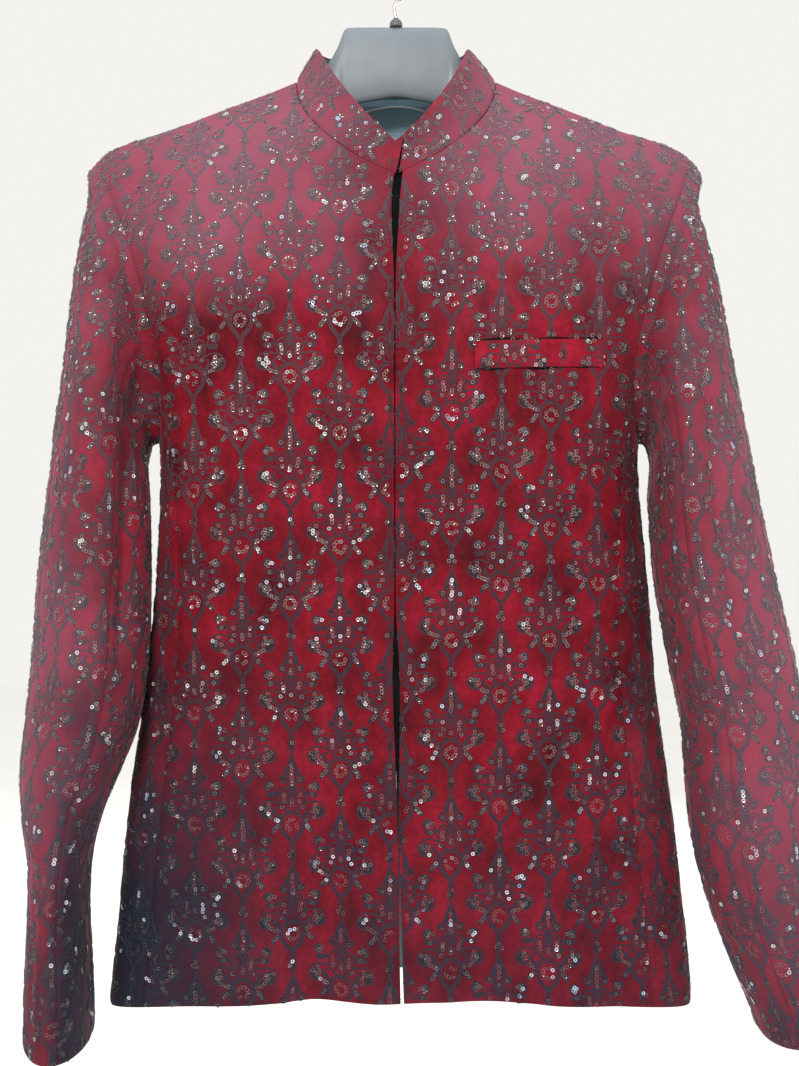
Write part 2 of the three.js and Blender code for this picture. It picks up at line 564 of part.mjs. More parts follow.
// The hanger's body: rounded sections from one end over the neck plate to the other.
function hangerBody() {
  const neck = BODY_RINGS[0];
  const point = BODY_RINGS[SHOULDER_POINT_ROW];
  const slope = (neck.zSide - point.zSide) / (point.left - neck.left);
  const below = (COAT_WALL + HANGER_CLEARANCE) * Math.hypot(1, slope);
  const section = ({ x, top, drop, bottom, half, y }, sign) => ({
    x: sign * x,
    top: top ?? shoulderLine(x) - below - drop,
    bottom,
    half,
    middle: y,
  });
  const sections = [
    ...HANGER_SECTIONS.slice(1).reverse().map((row) => section(row, -1)),
    ...HANGER_SECTIONS.map((row) => section(row, 1)),
  ];
  const positions = [];
  for (const { x, top, bottom, half, middle } of sections)
    for (let k = 0; k < HANGER_SECTION_SIDES; k++) {
      const turn = (2 * Math.PI * k) / HANGER_SECTION_SIDES;
      const y = middle + half * signedPower(Math.cos(turn), 2 / HANGER_SECTION_POWER);
      const up = signedPower(Math.sin(turn), 2 / HANGER_SECTION_POWER);
      const z = (top + bottom) / 2 + ((top - bottom) / 2) * up;
      positions.push(x, y, z);
    }
  const faces = [];
  const at = (j, k) => j * HANGER_SECTION_SIDES + (k % HANGER_SECTION_SIDES);
  for (let j = 0; j + 1 < sections.length; j++)
    for (let k = 0; k < HANGER_SECTION_SIDES; k++) {
      faces.push(at(j, k), at(j, k + 1), at(j + 1, k + 1));
      faces.push(at(j, k), at(j + 1, k + 1), at(j + 1, k));
    }
  const end = sections.length - 1;
  for (let k = 1; k + 1 < HANGER_SECTION_SIDES; k++) {
    faces.push(at(0, 0), at(0, k + 1), at(0, k));
    faces.push(at(end, 0), at(end, k), at(end, k + 1));
  }
  return meshOf("hanger_body", positions, faces, PLASTIC);
}

function hangerBoss() {
  const geometry = new THREE.CylinderGeometry(BOSS.radius * 0.85, BOSS.radius, BOSS.height, BOSS.sides);
  const mesh = new THREE.Mesh(geometry, new THREE.MeshStandardMaterial(PLASTIC));
  mesh.name = "hanger_boss";
  mesh.rotation.x = Math.PI / 2;
  mesh.position.z = BOSS.z + BOSS.height / 2;
  return mesh;
}

// The hook: up from the boss, over the rail and down to its free end.
function hangerHook() {
  const { wireRadius, bendRadius, steps, sides, startTurn, endTurn, turnStep } = HOOK;
  const neckZ = BOSS.z + BOSS.height + SEAM_GAP;
  const middleZ = wireRadius - bendRadius;
  const route = [new THREE.Vector3(0, 0, neckZ), new THREE.Vector3(0.5, 0, neckZ + 6)];
  for (let turn = startTurn; turn <= endTurn; turn += turnStep) {
    const [c, s] = [Math.cos(rad(turn)), Math.sin(rad(turn))];
    route.push(new THREE.Vector3(bendRadius * c, 0, middleZ + bendRadius * s));
  }
  const circle = new THREE.Shape();
  for (let k = 0; k < sides; k++) {
    const turn = (2 * Math.PI * k) / sides;
    circle[k ? "lineTo" : "moveTo"](wireRadius * Math.cos(turn), wireRadius * Math.sin(turn));
  }
  const extrudePath = new THREE.CatmullRomCurve3(route);
  const geometry = new THREE.ExtrudeGeometry(circle, { steps, extrudePath });
  const mesh = new THREE.Mesh(geometry, new THREE.MeshStandardMaterial(STEEL));
  mesh.name = "hanger_hook";
  return mesh;
}

const coat = new THREE.Group();
coat.add(frontPanel("front_left", 1), frontPanel("front_right", -1));
coat.add(sidePanel("side_left", 1), sidePanel("side_right", -1));
coat.add(backPanel("back_left", 1), backPanel("back_right", -1));
for (const [word, side, rings] of [["left", 1, SLEEVE_LEFT_RINGS], ["right", -1, SLEEVE_RIGHT_RINGS]]) {
  const around = UNDER_SLEEVE_FIRST + ARMHOLE_SAMPLES;
  coat.add(sleevePiece(`sleeve_top_${word}`, side, rings, UNDER_SLEEVE_LAST, around));
  coat.add(sleevePiece(`sleeve_under_${word}`, side, rings, UNDER_SLEEVE_FIRST, UNDER_SLEEVE_LAST));
}
coat.add(collar(), collarLining(), backNeckLining(), flyUnderlap(), chestWelt());

const hanger = new THREE.Group();
hanger.add(hangerBody(), hangerBoss(), hangerHook());

const group = new THREE.Group();
group.add(coat, hanger);

export default group;
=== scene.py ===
"""Looks of a short prince coat on its hanger.

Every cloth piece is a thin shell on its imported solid's form. Corded ogee embroidery and ring sequins
lie on the shells, each panel's own piece of one allover repeat.
Lengths are millimetres until a mesh is made. The front faces -Y and +X is the wearer's left."""
import math
from types import SimpleNamespace as Values

import bpy
import numpy as np
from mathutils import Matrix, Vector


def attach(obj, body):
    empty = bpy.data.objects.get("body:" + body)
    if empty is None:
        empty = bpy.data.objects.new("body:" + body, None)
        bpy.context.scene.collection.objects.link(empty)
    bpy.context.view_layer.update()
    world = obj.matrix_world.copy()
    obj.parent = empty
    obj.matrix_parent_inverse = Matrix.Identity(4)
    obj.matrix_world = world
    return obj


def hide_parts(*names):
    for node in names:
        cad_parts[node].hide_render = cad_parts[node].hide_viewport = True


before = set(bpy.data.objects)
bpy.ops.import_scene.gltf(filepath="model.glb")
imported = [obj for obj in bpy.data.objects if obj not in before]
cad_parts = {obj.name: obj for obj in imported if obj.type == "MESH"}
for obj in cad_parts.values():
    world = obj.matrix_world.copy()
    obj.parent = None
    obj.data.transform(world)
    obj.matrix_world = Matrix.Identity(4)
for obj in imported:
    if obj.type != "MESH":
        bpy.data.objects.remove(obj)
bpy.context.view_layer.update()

MM = 0.001
COAT_WALL = 2.4
COLLAR_WALL = 2.6
LINING_WALL = 1.2
WELT_WALL = 2.0
SEAM_GAP = 0.3
NECK_TUCK = COLLAR_WALL + LINING_WALL + 2 * SEAM_GAP  # how far the linings lie behind the collar's face

# ---- The coat's surface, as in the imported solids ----


def table(names, text):
    """Named columns of a short table."""
    names = names.split()
    return dict(zip(names, np.array(text.split(), float).reshape(-1, len(names)).T))


def each(columns):
    """The rows of a table, each with its named numbers."""
    return [Values(**dict(zip(columns, row))) for row in zip(*columns.values())]


def pairs(text):
    return np.array(text.split(), float).reshape(-1, 2)


# From the neck to the hem: heights, half widths, half depths and middle, the rounding, and the opening.
BODY = table("zFront zSide zBack left right broad front back centreY power rise frontX halfGap", """
    -188 -101 -104 77 77 77 57 50 -5 2.05 0.65 2 3
    -206 -116 -122 114 115 112 61 55 -3 2.35 0.8 0 2.9
    -232 -137 -150 166 168 158 65 58 -1 2.65 1 -0.5 2
    -262 -162 -182 228 230 195 68 61 0 2.6 1 -0.7 0.6
    -297 -215 -228 218 218 208 69 62 0 2.6 1 -0.7 0.3
    -335 -270 -282 203 203 203 69 62 0 2.6 1 -0.7 0.3
    -375 -325 -336 191 189 191 68 62 0 2.6 1 -0.7 0.3
    -415 -380 -390 186 181 184 67 61 0 2.6 1 -0.7 0.3
    -457 -432 -440 188 181 185 65 59 0 2.6 1 -0.7 0.3
    -505 -488 -494 194 184 189 62 56 0 2.6 1 -0.5 0.5
    -555 -545 -548 198 190 194 58 53 0 2.6 1 0.2 2.4
    -605 -600 -601 204 197 200 55 50 0 2.6 1 1 1.6
    -655 -655 -654 212 205 208 52 48 0 2.6 1 1.8 0.6
    -705 -708 -706 218 210 214 49 46 0 2.65 1 2.8 0.5
    -752 -760 -755 224 215 219 47 45 0 2.7 1 3.8 0.8
    -797 -810 -800 228 220 224 46 44 0 2.8 1 5 1.2""")
SHOULDER_POINT_ROW, UNDERARM_ROW, HEM_ROW = 3, 7, 15
HEM_EDGE_ROWS = [14.95, 14.98, 15]  # fine rows for the rolled hem
RISE_POWER_AT_NECK, RISE_POWER_AT_SHOULDER, RISE_POWER_BELOW = 0.9, 1.45, 2
BODY_FOLDS = table("face x lean depth width top full", """
    -1 -60 -14 -9 22 -560 -780
    -1 -110 -6 6 34 -520 -800
    -1 -12 0 3.5 22 -600 -790
    -1 70 18 -5 30 -580 -800
    -1 128 10 5 30 -540 -800
    -1 -96 10 -3 26 -250 -430
    1 -78 -12 6 34 -470 -780
    1 -24 -4 -5 24 -520 -790
    1 62 14 6 36 -450 -770
    1 126 8 -4 28 -540 -800""")
ARMHOLE_HALF_ANGLE, ARMHOLE_SAMPLES = 27, 24
WIDEST_ANGLE = 110.0  # past the centre, where the opening leans to the other side
FRONT_SEAM_SAMPLE, BACK_SEAM_SAMPLE = 8, 16
SIDE_SEAM_ANGLE, SIDE_SEAM_SETTLED_ROW = 36, 10
SLEEVES = {
    1: table("z x y half depth toeIn tilt", """
        -428 232 -20 42.5 68 15 0
        -482 239 -22 45 66 15 0
        -542 250 -27 46.5 64 15 0
        -588 258 -32 45.5 62 14 0
        -632 259.5 -37 44 60 12 0.03
        -673 261.5 -42 42 58 10 0.08
        -714 268 -46 38.5 57 9 0.14
        -753 280 -49 35.5 56 8 0.2
        -784 291 -52 33.5 56 8 0.24
        -803 297 -54 33 56 8 0.26"""),
    -1: table("z x y half depth toeIn tilt", """
        -428 224 -20 39.5 68 15 0
        -482 226 -22 42 66 15 0
        -542 228 -27 43 64 15 0
        -590 233 -32 41.5 63 13 0
        -627 241 -37 36 62 11 0
        -656 246 -41 29.5 62 9 0
        -690 247.5 -45 23.5 62 8 0
        -728 247.5 -49 22.5 61 8 0
        -772 246.5 -53 24.5 60 8 0
        -815 245.5 -56 25.5 59 8 0"""),
}
ARMHOLE_GAP = 0.45
HEAD_SPREAD = 0.5
HEAD_REACH, HEAD_DROP = (22, 6), (86, 64)  # middle, swing
UNDER_SLEEVE_FIRST, UNDER_SLEEVE_LAST = 7, 17
SLEEVE_FOLDS = table("side angle depth width top bottom", """
    -1 118 -7 26 -230 -600
    -1 78 3 26 -260 -600
    -1 250 -5 28 -330 -640
    1 104 4 24 -240 -600
    1 62 -6 26 -280 -640
    1 255 -5 28 -330 -640""")
FOLD_FADE = 70
SLEEVE_ZERO_TURN = 97  # where a column of the repeat runs down the sleeve's front
# How far the outside of each sleeve hangs from its plain form, out from the body.
SLEEVE_HANG = table("z left right", """
    -150 -4 -4
    -178 -12 -10
    -205 -18 -11
    -240 -17 -10.5
    -300 -14.5 -8.5
    -340 -11 -6
    -370 -7 -2
    -400 -2 0
    -430 3 4
    -480 3.5 4
    -560 3 3.5
    -620 2 3
    -680 0 0""")
SLEEVE_TUCK = (3.2, 1.4)  # the sleeve's seam allowance inside the armhole
ARMHOLE_TROUGH = 2.4
SLEEVE_CENTRE = (236.0, -25)
COLLAR_TOP = Values(zFront=-163, zSide=-76, zBack=-71, half=59, front=53, back=44, centreY=-5,
                    power=2.05, rise=0.4, shiftX=-3, frontX=6, halfGap=0.3)
COLLAR_TOP_RISE_POWER = 1.3
COLLAR_FOOT_HALF_GAP, COLLAR_FOOT_X = 1.2, 1
COLLAR_MEAN_RADIUS = 66.0
# The welt's painted shadow sheet: how far it lifts off the front, and its wall.
PAINTED_SHADOW_LIFT, PAINTED_SHADOW_WALL = 0.5, 0.25
WELT = Values(xInner=57, xOuter=152, zInner=-331, zOuter=-327.5, height=20)


def mix(a, b, t):
    return a + (b - a) * t


def smooth(x, low, high):
    t = np.clip((x - low) / (high - low), 0, 1)
    return t * t * (3 - 2 * t)


def signed_power(value, power):
    return np.sign(value) * np.abs(value) ** power


def sind(angle):
    return np.sin(np.radians(angle))


def cosd(angle):
    return np.cos(np.radians(angle))


def bell(x, width):
    return np.exp(-((x / width) ** 2))


def column(values, row):
    """A column of a table at fractional rows, on a smooth curve through its values."""
    padded = np.concatenate([[2 * values[0] - values[1]], values, [2 * values[-1] - values[-2]]])
    i = np.clip(np.floor(row).astype(int), 0, len(values) - 2)
    t = row - i
    before, a, b, after = (padded[i + k] for k in range(4))
    slope_a, slope_b = (b - before) / 2, (after - a) / 2
    t2, t3 = t * t, t * t * t
    return ((2 * t3 - 3 * t2 + 1) * a + (t3 - 2 * t2 + t) * slope_a
            + (3 * t2 - 2 * t3) * b + (t3 - t2) * slope_b)


def ring_height(angle, z_side, z_end, rise, power, squareness):
    round_share = np.abs(sind(angle)) ** power
    straight = 1 - np.abs(cosd(angle)) ** (2 / squareness)
    return z_side + (z_end - z_side) * (rise * round_share + (1 - rise) * straight)


def body_fold(face, x, z):
    depth = np.zeros(np.shape(x))
    for fold in each(BODY_FOLDS):
        growth = np.where(z > fold.top, 0, smooth(-z, -fold.top, -fold.full))
        middle = fold.x + fold.lean * (1 - growth)
        depth += (face == fold.face) * fold.depth * growth * bell(x - middle, fold.width)
    return depth


def body_point(side, angle, row):
    """Points of the body's outer surface: angle -90 centre front, 0 side, 90 centre back."""
    angle, row = floats(angle, row)
    at = lambda name: column(BODY[name], row)
    front = angle < 0
    power = at("power")
    sine, cosine = sind(angle), cosd(angle)
    half = mix(at("left" if side > 0 else "right"), at("broad"), np.abs(sine))
    x = side * half * signed_power(cosine, 2 / power)
    depth = np.where(front, at("front"), at("back"))
    shoulder_power = mix(RISE_POWER_AT_NECK, RISE_POWER_AT_SHOULDER, smooth(row, 0, 2))
    rise_power = mix(shoulder_power, RISE_POWER_BELOW, smooth(row, SHOULDER_POINT_ROW, UNDERARM_ROW))
    z_end = np.where(front, at("zFront"), at("zBack"))
    z = ring_height(angle, at("zSide"), z_end, at("rise"), rise_power, power)
    reach = np.abs(sine) ** (2 / power)
    fold = body_fold(np.where(front, -1, 1), x, z) * reach ** 2
    y = at("centreY") + np.where(front, -1, 1) * (depth * reach + fold)
    return np.stack([x, y, z], -1)


def angle_at_x(side, x, row, face=-1):
    """The angle at which rings of the body have a given x."""
    x, row = floats(x, row)
    outside = lambda angle: side * body_point(side, face * angle, row)[..., 0] > side * x
    return face * bisect(np.full(x.shape, WIDEST_ANGLE), 26, outside)


def armhole_place(sample):
    turn = 2 * np.pi * np.asarray(sample, float) / ARMHOLE_SAMPLES
    share = (1 - np.cos(turn)) / 2
    return -ARMHOLE_HALF_ANGLE * np.sin(turn), mix(SHOULDER_POINT_ROW, UNDERARM_ROW, share)


def side_seam_angle(row):
    angle, start_row = armhole_place(FRONT_SEAM_SAMPLE)
    return mix(abs(angle), SIDE_SEAM_ANGLE, smooth(row, start_row, SIDE_SEAM_SETTLED_ROW))


def circle(count):
    """Cosines and sines of equal turns."""
    turn = 2 * np.pi * np.arange(count) / count
    return np.cos(turn), np.sin(turn)


def rings_about(side, up, count):
    """Round rings of unit radius in the planes of side and up."""
    c, s = circle(count)
    return c[None, :, None] * side[:, None] + s[None, :, None] * up[:, None]


def floats(*values):
    return np.broadcast_arrays(*(np.asarray(value, float) for value in values))


def bisect(high, steps, short):
    """Where short(value) stops being true, for each element, between 0 and high."""
    low = np.zeros(high.shape)
    for _ in range(steps):
        middle = (low + high) / 2
        is_short = short(middle)
        low, high = np.where(is_short, middle, low), np.where(is_short, high, middle)
    return low


def unit(v):
    return v / np.maximum(np.linalg.norm(v, axis=-1, keepdims=True), 1e-9)


def grid_normals(P, outward):
    """Normals of a grid of points, all on the side that outward mostly points to."""
    N = unit(np.cross(np.gradient(P, axis=0), np.gradient(P, axis=1)))
    return N if (N * outward).sum() > 0 else -N


def arc(P, axis):
    """Length along a grid's rows (axis 1) or columns (axis 0)."""
    step = np.linalg.norm(np.diff(P, axis=axis), axis=-1)
    return np.insert(np.cumsum(step, axis=axis), 0, 0, axis=axis)


def spaced(count, ends=(0.9, 2.2, 4.5), length=160.0):
    """Shares from 0 to 1 with finer steps at both ends, for the rolled edges."""
    edge = np.array(ends) / length
    inner = np.linspace(0, 1, count + 1)[1:-1]
    inner = inner[(inner > edge[-1] * 1.3) & (inner < 1 - edge[-1] * 1.3)]
    return np.concatenate([[0], edge, inner, 1 - edge[::-1], [1]])


# ---- Creases: soft troughs and ridges ----

# On the body: -1 for the front or 1 for the back, then x and z of one end and of the other.
BODY_CREASES = table("on p0 q0 p1 q1 width depth", """
    -1 -168 -330 -128 -402 8 -1.4
    -1 -160 -395 -112 -470 9 -1.2
    -1 166 -340 138 -430 9 -1.5
    -1 150 -420 108 -505 10 -1.1
    -1 -150 -520 -96 -560 9 -1.1
    -1 150 -560 92 -590 9 -1.2
    -1 -128 -640 -120 -790 9 -2.2
    -1 -92 -690 -84 -800 8 1.6
    -1 -28 -700 -30 -800 8 -1.3
    -1 34 -690 38 -800 9 1.5
    -1 100 -700 104 -805 9 -1.8
    -1 158 -650 166 -805 10 -2.0
    -1 -14 -520 -44 -575 8 -1.0
    -1 16 -500 46 -560 8 -0.9
    -1 -60 -236 -120 -222 10 -0.9
    -1 64 -240 128 -226 10 -0.9
    1 -150 -350 -108 -440 10 -1.6
    1 152 -360 112 -455 10 -1.5
    1 -40 -520 44 -535 10 -1.2
    1 -120 -560 -70 -600 9 -1.2
    1 122 -570 74 -608 9 -1.2
    1 -100 -680 -104 -800 9 -1.8
    1 20 -690 22 -800 9 1.6
    1 96 -670 102 -800 9 -1.8
    1 -52 -700 -54 -800 8 1.3""")
# On the sleeves: -1 for the right or 1 for the left, then turn (0 outside, 90 front, 180 by the body) and z.
SLEEVE_CREASES = table("on p0 q0 p1 q1 width depth", """
    -1 128 -280 122 -540 9 -5.0
    -1 104 -250 106 -470 8 2.4
    -1 60 -560 140 -612 9 -2.0
    -1 40 -600 120 -640 9 -1.8
    -1 70 -655 160 -620 8 -1.6
    -1 30 -690 100 -664 9 -1.3
    -1 200 -590 280 -636 9 -1.8
    -1 230 -650 320 -610 9 -1.4
    -1 96 -700 84 -800 7 1.2
    -1 60 -690 54 -806 7 -1.3
    1 72 -290 68 -560 9 -4.4
    1 96 -280 98 -540 7 2.6
    1 130 -330 128 -500 7 -1.3
    1 50 -540 130 -598 9 -1.9
    1 60 -620 150 -590 9 -1.7
    1 40 -650 120 -684 9 -1.5
    1 200 -580 290 -626 9 -1.8
    1 240 -650 320 -606 9 -1.4
    1 90 -700 100 -790 7 1.2
    1 120 -690 126 -795 7 -1.2""")


def crease_depth(creases, on, p, q, p_scale=1.0):
    """How far the creases move points at (p, q), each a soft line between its two ends."""
    depth, p = np.zeros(np.shape(p)), p * p_scale
    for crease in each(creases):
        a = np.array([crease.p0 * p_scale, crease.q0])
        along = np.array([crease.p1 * p_scale, crease.q1]) - a
        share = ((p - a[0]) * along[0] + (q - a[1]) * along[1]) / (along @ along)
        inside = np.clip(share, 0, 1)
        gap = np.hypot(p - a[0] - inside * along[0], q - a[1] - inside * along[1])
        end_fade = 0.35 + 0.65 * np.sin(np.pi * inside) ** 0.7
        depth += (on == crease.on) * crease.depth * end_fade * bell(gap, crease.width)
    return depth


# ---- Panels: a grid of points with the embroidery's own coordinates ----

EDGE_ROLL_DEPTH, EDGE_ROLL_WIDTH = 1.0, 2.3  # how a seam or a turned edge rounds away
ALL_EDGES = ("top", "start", "end", "bottom")
SMOOTH_ANGLE = math.radians(38)
LOCATE_CELL, LOCATE_MISS = 7.0, 0.25


class Panel:
    """A cloth piece: outer points P, normals N, and U, V across and up the uncut cloth."""

    def __init__(self, name, P, N, U, V, rolled):
        self.name, self.N, self.U, self.V = name, N, U, V
        P = P.copy()
        columns = {"start": (np.s_[:, 0], np.s_[:, 1]), "end": (np.s_[:, -1], np.s_[:, -2]), "top": (0, 1)}
        for edge, (first, second) in columns.items():
            if edge in rolled:
                P[first] += unit(P[second] - P[first]) * SEAM_GAP / 2
        across, down = arc(P, 1), arc(P, 0)
        roll = np.zeros(P.shape[:2])
        gaps = {"start": across, "end": across[:, -1:] - across, "top": down, "bottom": down[-1:] - down}
        for edge in rolled:
            roll = np.maximum(roll, bell(gaps[edge], EDGE_ROLL_WIDTH))
        self.P = P - N * (EDGE_ROLL_DEPTH * roll)[..., None]

    def locate(self, u, v):
        """Grid places whose cloth coordinates are u, v, and which of them lie on the panel."""
        nj, ni = self.U.shape
        cell = LOCATE_CELL
        low = np.array([self.U.min(), self.V.min()]) - 3 * cell
        size = (np.array([self.U.max(), self.V.max()]) + 3 * cell - low) / cell
        seed = np.full(size.astype(int) + 1, -1)
        bucket = lambda a, b: (((a - low[0]) / cell).astype(int), ((b - low[1]) / cell).astype(int))
        seed[bucket(self.U.ravel(), self.V.ravel())] = np.arange(nj * ni)
        for _ in range(60):
            if (seed >= 0).all():
                break
            for axis, shift in ((0, 1), (0, -1), (1, 1), (1, -1)):
                seed = np.where(seed < 0, np.roll(seed, shift, axis), seed)
        bu, bv = (np.clip(b, 0, count - 1) for b, count in zip(bucket(u, v), seed.shape))
        j, i = (index.astype(float) for index in np.divmod(seed[bu, bv], ni))
        for _ in range(9):
            fu, uj, ui = self.sample(self.U, j, i, slopes=True)
            fv, vj, vi = self.sample(self.V, j, i, slopes=True)
            det = uj * vi - ui * vj
            det = np.where(np.abs(det) < 1e-6, 1e-6, det)
            du, dv = u - fu, v - fv
            j = np.clip(j + np.clip((du * vi - ui * dv) / det, -4, 4), -0.6, nj - 0.4)
            i = np.clip(i + np.clip((uj * dv - du * vj) / det, -4, 4), -0.6, ni - 0.4)
        error = np.hypot(u - self.sample(self.U, j, i), v - self.sample(self.V, j, i))
        inside = (j >= 0) & (j <= nj - 1) & (i >= 0) & (i <= ni - 1) & (error < LOCATE_MISS)
        return j, i, inside

    def sample(self, field, j, i, slopes=False):
        """A field of the grid between its points."""
        nj, ni = field.shape[:2]
        j0 = np.clip(np.floor(j).astype(int), 0, nj - 2)
        i0 = np.clip(np.floor(i).astype(int), 0, ni - 2)
        tj, ti = j - j0, i - i0
        if field.ndim == 3:
            tj, ti = tj[..., None], ti[..., None]
        a, b = field[j0, i0], field[j0, i0 + 1]
        c, d = field[j0 + 1, i0], field[j0 + 1, i0 + 1]
        value = mix(mix(a, b, ti), mix(c, d, ti), tj)
        if not slopes:
            return value
        return value, mix(c - a, d - b, ti), mix(b - a, d - c, tj)


def body_table(side, face):
    """For each x and row of a front or back: the cloth's height along its own vertical thread."""
    xs = np.arange(0, 236, 4.0)
    rows = np.linspace(0, HEM_ROW, 226)
    X, R = np.meshgrid(xs, rows, indexing="ij")
    P = body_point(side, angle_at_x(side, side * X, R, face), R)
    length = arc(P[..., 1:], 1)
    reference = np.argmin(np.abs(rows - 8))
    return xs, rows, P[:, reference, 2][:, None] - (length - length[:, reference:reference + 1])


def grid_lookup(xs, rows, values, x, row):
    i = np.clip((x - xs[0]) / (xs[1] - xs[0]), 0, len(xs) - 1.001)
    j = np.clip((row - rows[0]) / (rows[1] - rows[0]), 0, len(rows) - 1.001)
    i0, j0 = i.astype(int), j.astype(int)
    ti, tj = i - i0, j - j0
    return mix(mix(values[i0, j0], values[i0, j0 + 1], tj),
               mix(values[i0 + 1, j0], values[i0 + 1, j0 + 1], tj), ti)


def creased(P, N, face):
    return P + N * crease_depth(BODY_CREASES, face, P[..., 0], P[..., 2])[..., None]


def body_sheet(side, angle, row):
    """Points and normals of a grid on the body, by small steps on its surface."""
    step_angle, step_row = 0.4, 0.02
    along = body_point(side, angle + step_angle, row) - body_point(side, angle - step_angle, row)
    low, high = np.maximum(row - step_row, 0), np.minimum(row + step_row, HEM_ROW)
    down = body_point(side, angle, high) - body_point(side, angle, low)
    N = unit(np.cross(down, along) * side)
    return body_point(side, angle, row), N


def main_rows(face):
    """Fine rows of a front or back, and the angle where each ends."""
    shoulder = np.concatenate([[0, 0.02, 0.06], np.linspace(0.15, 2.92, 22)])
    samples = np.linspace(0, FRONT_SEAM_SAMPLE, 44)
    angle, row = armhole_place(samples if face < 0 else ARMHOLE_SAMPLES - samples)
    below = np.concatenate([np.linspace(row[-1], HEM_ROW, 78)[1:-1], HEM_EDGE_ROWS])
    return (np.concatenate([shoulder, row, below]),
            np.concatenate([np.zeros(len(shoulder)), angle, face * side_seam_angle(below)]))


def main_panel(name, side, face):
    rows, ends = main_rows(face)
    if face < 0:
        x = column(BODY["frontX"], rows) + side * column(BODY["halfGap"], rows)
        starts = angle_at_x(side, x, rows)
    else:
        starts = np.full(rows.shape, 90.0)
    share = spaced(38)
    angle = starts[:, None] + (ends - starts)[:, None] * share
    row = np.broadcast_to(rows[:, None], angle.shape)
    P, N = body_sheet(side, angle, row)
    P = creased(P, N, face)
    V = grid_lookup(*body_table(side, face), np.abs(P[..., 0]), row)
    return Panel(name, P, N, P[..., 0].copy(), V, ALL_EDGES)


def side_panel(name, side):
    """Under the arm, between both side seams."""
    share = spaced(26, length=110.0)
    top_angle, top_row = armhole_place(mix(FRONT_SEAM_SAMPLE, BACK_SEAM_SAMPLE, share))
    lower = np.concatenate([np.linspace(7.2, HEM_ROW, 70)[:-1], HEM_EDGE_ROWS])
    blend = np.concatenate([[0, 0.05, 0.12], np.linspace(0.25, 0.9, 5)])
    seam = side_seam_angle(lower)
    first = mix(-seam[0], seam[0], share)
    row = np.concatenate([mix(top_row, lower[0], blend[:, None]),
                          np.broadcast_to(lower[:, None], (len(lower), len(share)))])
    angle = np.concatenate([mix(top_angle, first, blend[:, None]), mix(-seam[:, None], seam[:, None], share)])
    P, N = body_sheet(side, angle, row)
    P = creased(P, N, 0)
    flat_arc = arc(P * [1, 1, 0], 1)
    middle = flat_arc[:, len(share) // 2][:, None]
    return Panel(name, P, N, flat_arc - middle, P[..., 2].copy(), ALL_EDGES)


def sleeve_ring_point(side, ring, turn):
    toe = np.radians(ring["toeIn"])
    across = np.sqrt(ring["half"] ** 2 - (ring["depth"] * np.sin(toe)) ** 2) / np.cos(toe)
    c, s = across * cosd(turn), ring["depth"] * sind(turn)
    out = c * np.cos(toe) - s * np.sin(toe)
    y = ring["y"] - s * np.cos(toe) - c * np.sin(toe)
    return np.stack(np.broadcast_arrays(side * (ring["x"] + out), y, ring["z"] + ring["tilt"] * out), -1)


def sleeve_head_point(side, turn, share):
    """From the armhole's edge out and down to the first ring."""
    angle, row = armhole_place(turn * ARMHOLE_SAMPLES / 360)
    middle = body_point(side, 0, (SHOULDER_POINT_ROW + UNDERARM_ROW) / 2)
    edge = body_point(side, angle, row)
    away = unit((edge - middle) * [0, 1, 1])
    leave = unit(np.stack([np.full(away.shape[:-1], float(side)), HEAD_SPREAD * away[..., 1],
                           -HEAD_SPREAD * np.maximum(away[..., 2], 0)], -1))
    edge = edge + leave * ARMHOLE_GAP
    lower = sleeve_ring_point(side, {k: v[0] for k, v in SLEEVES[side].items()}, turn)
    top = cosd(turn)[..., None]
    out = edge + leave * (HEAD_REACH[0] + HEAD_REACH[1] * top)
    above = lower + np.array([0, 0, 1.0]) * (HEAD_DROP[0] + HEAD_DROP[1] * top)
    t = share[..., None]
    return ((1 - t) ** 3 * edge + 3 * (1 - t) ** 2 * t * out + 3 * (1 - t) * t * t * above + t ** 3 * lower)


def sleeve_fold(side, turn, z):
    depth = np.zeros(np.shape(z))
    for fold in each(SLEEVE_FOLDS):
        start = smooth(-z, -fold.top, -fold.top + FOLD_FADE)
        end = 1 - smooth(-z, -fold.bottom - FOLD_FADE, -fold.bottom)
        here = bell(turn - fold.angle, fold.width)
        depth += (side == fold.side) * fold.depth * start * end * here
    return depth


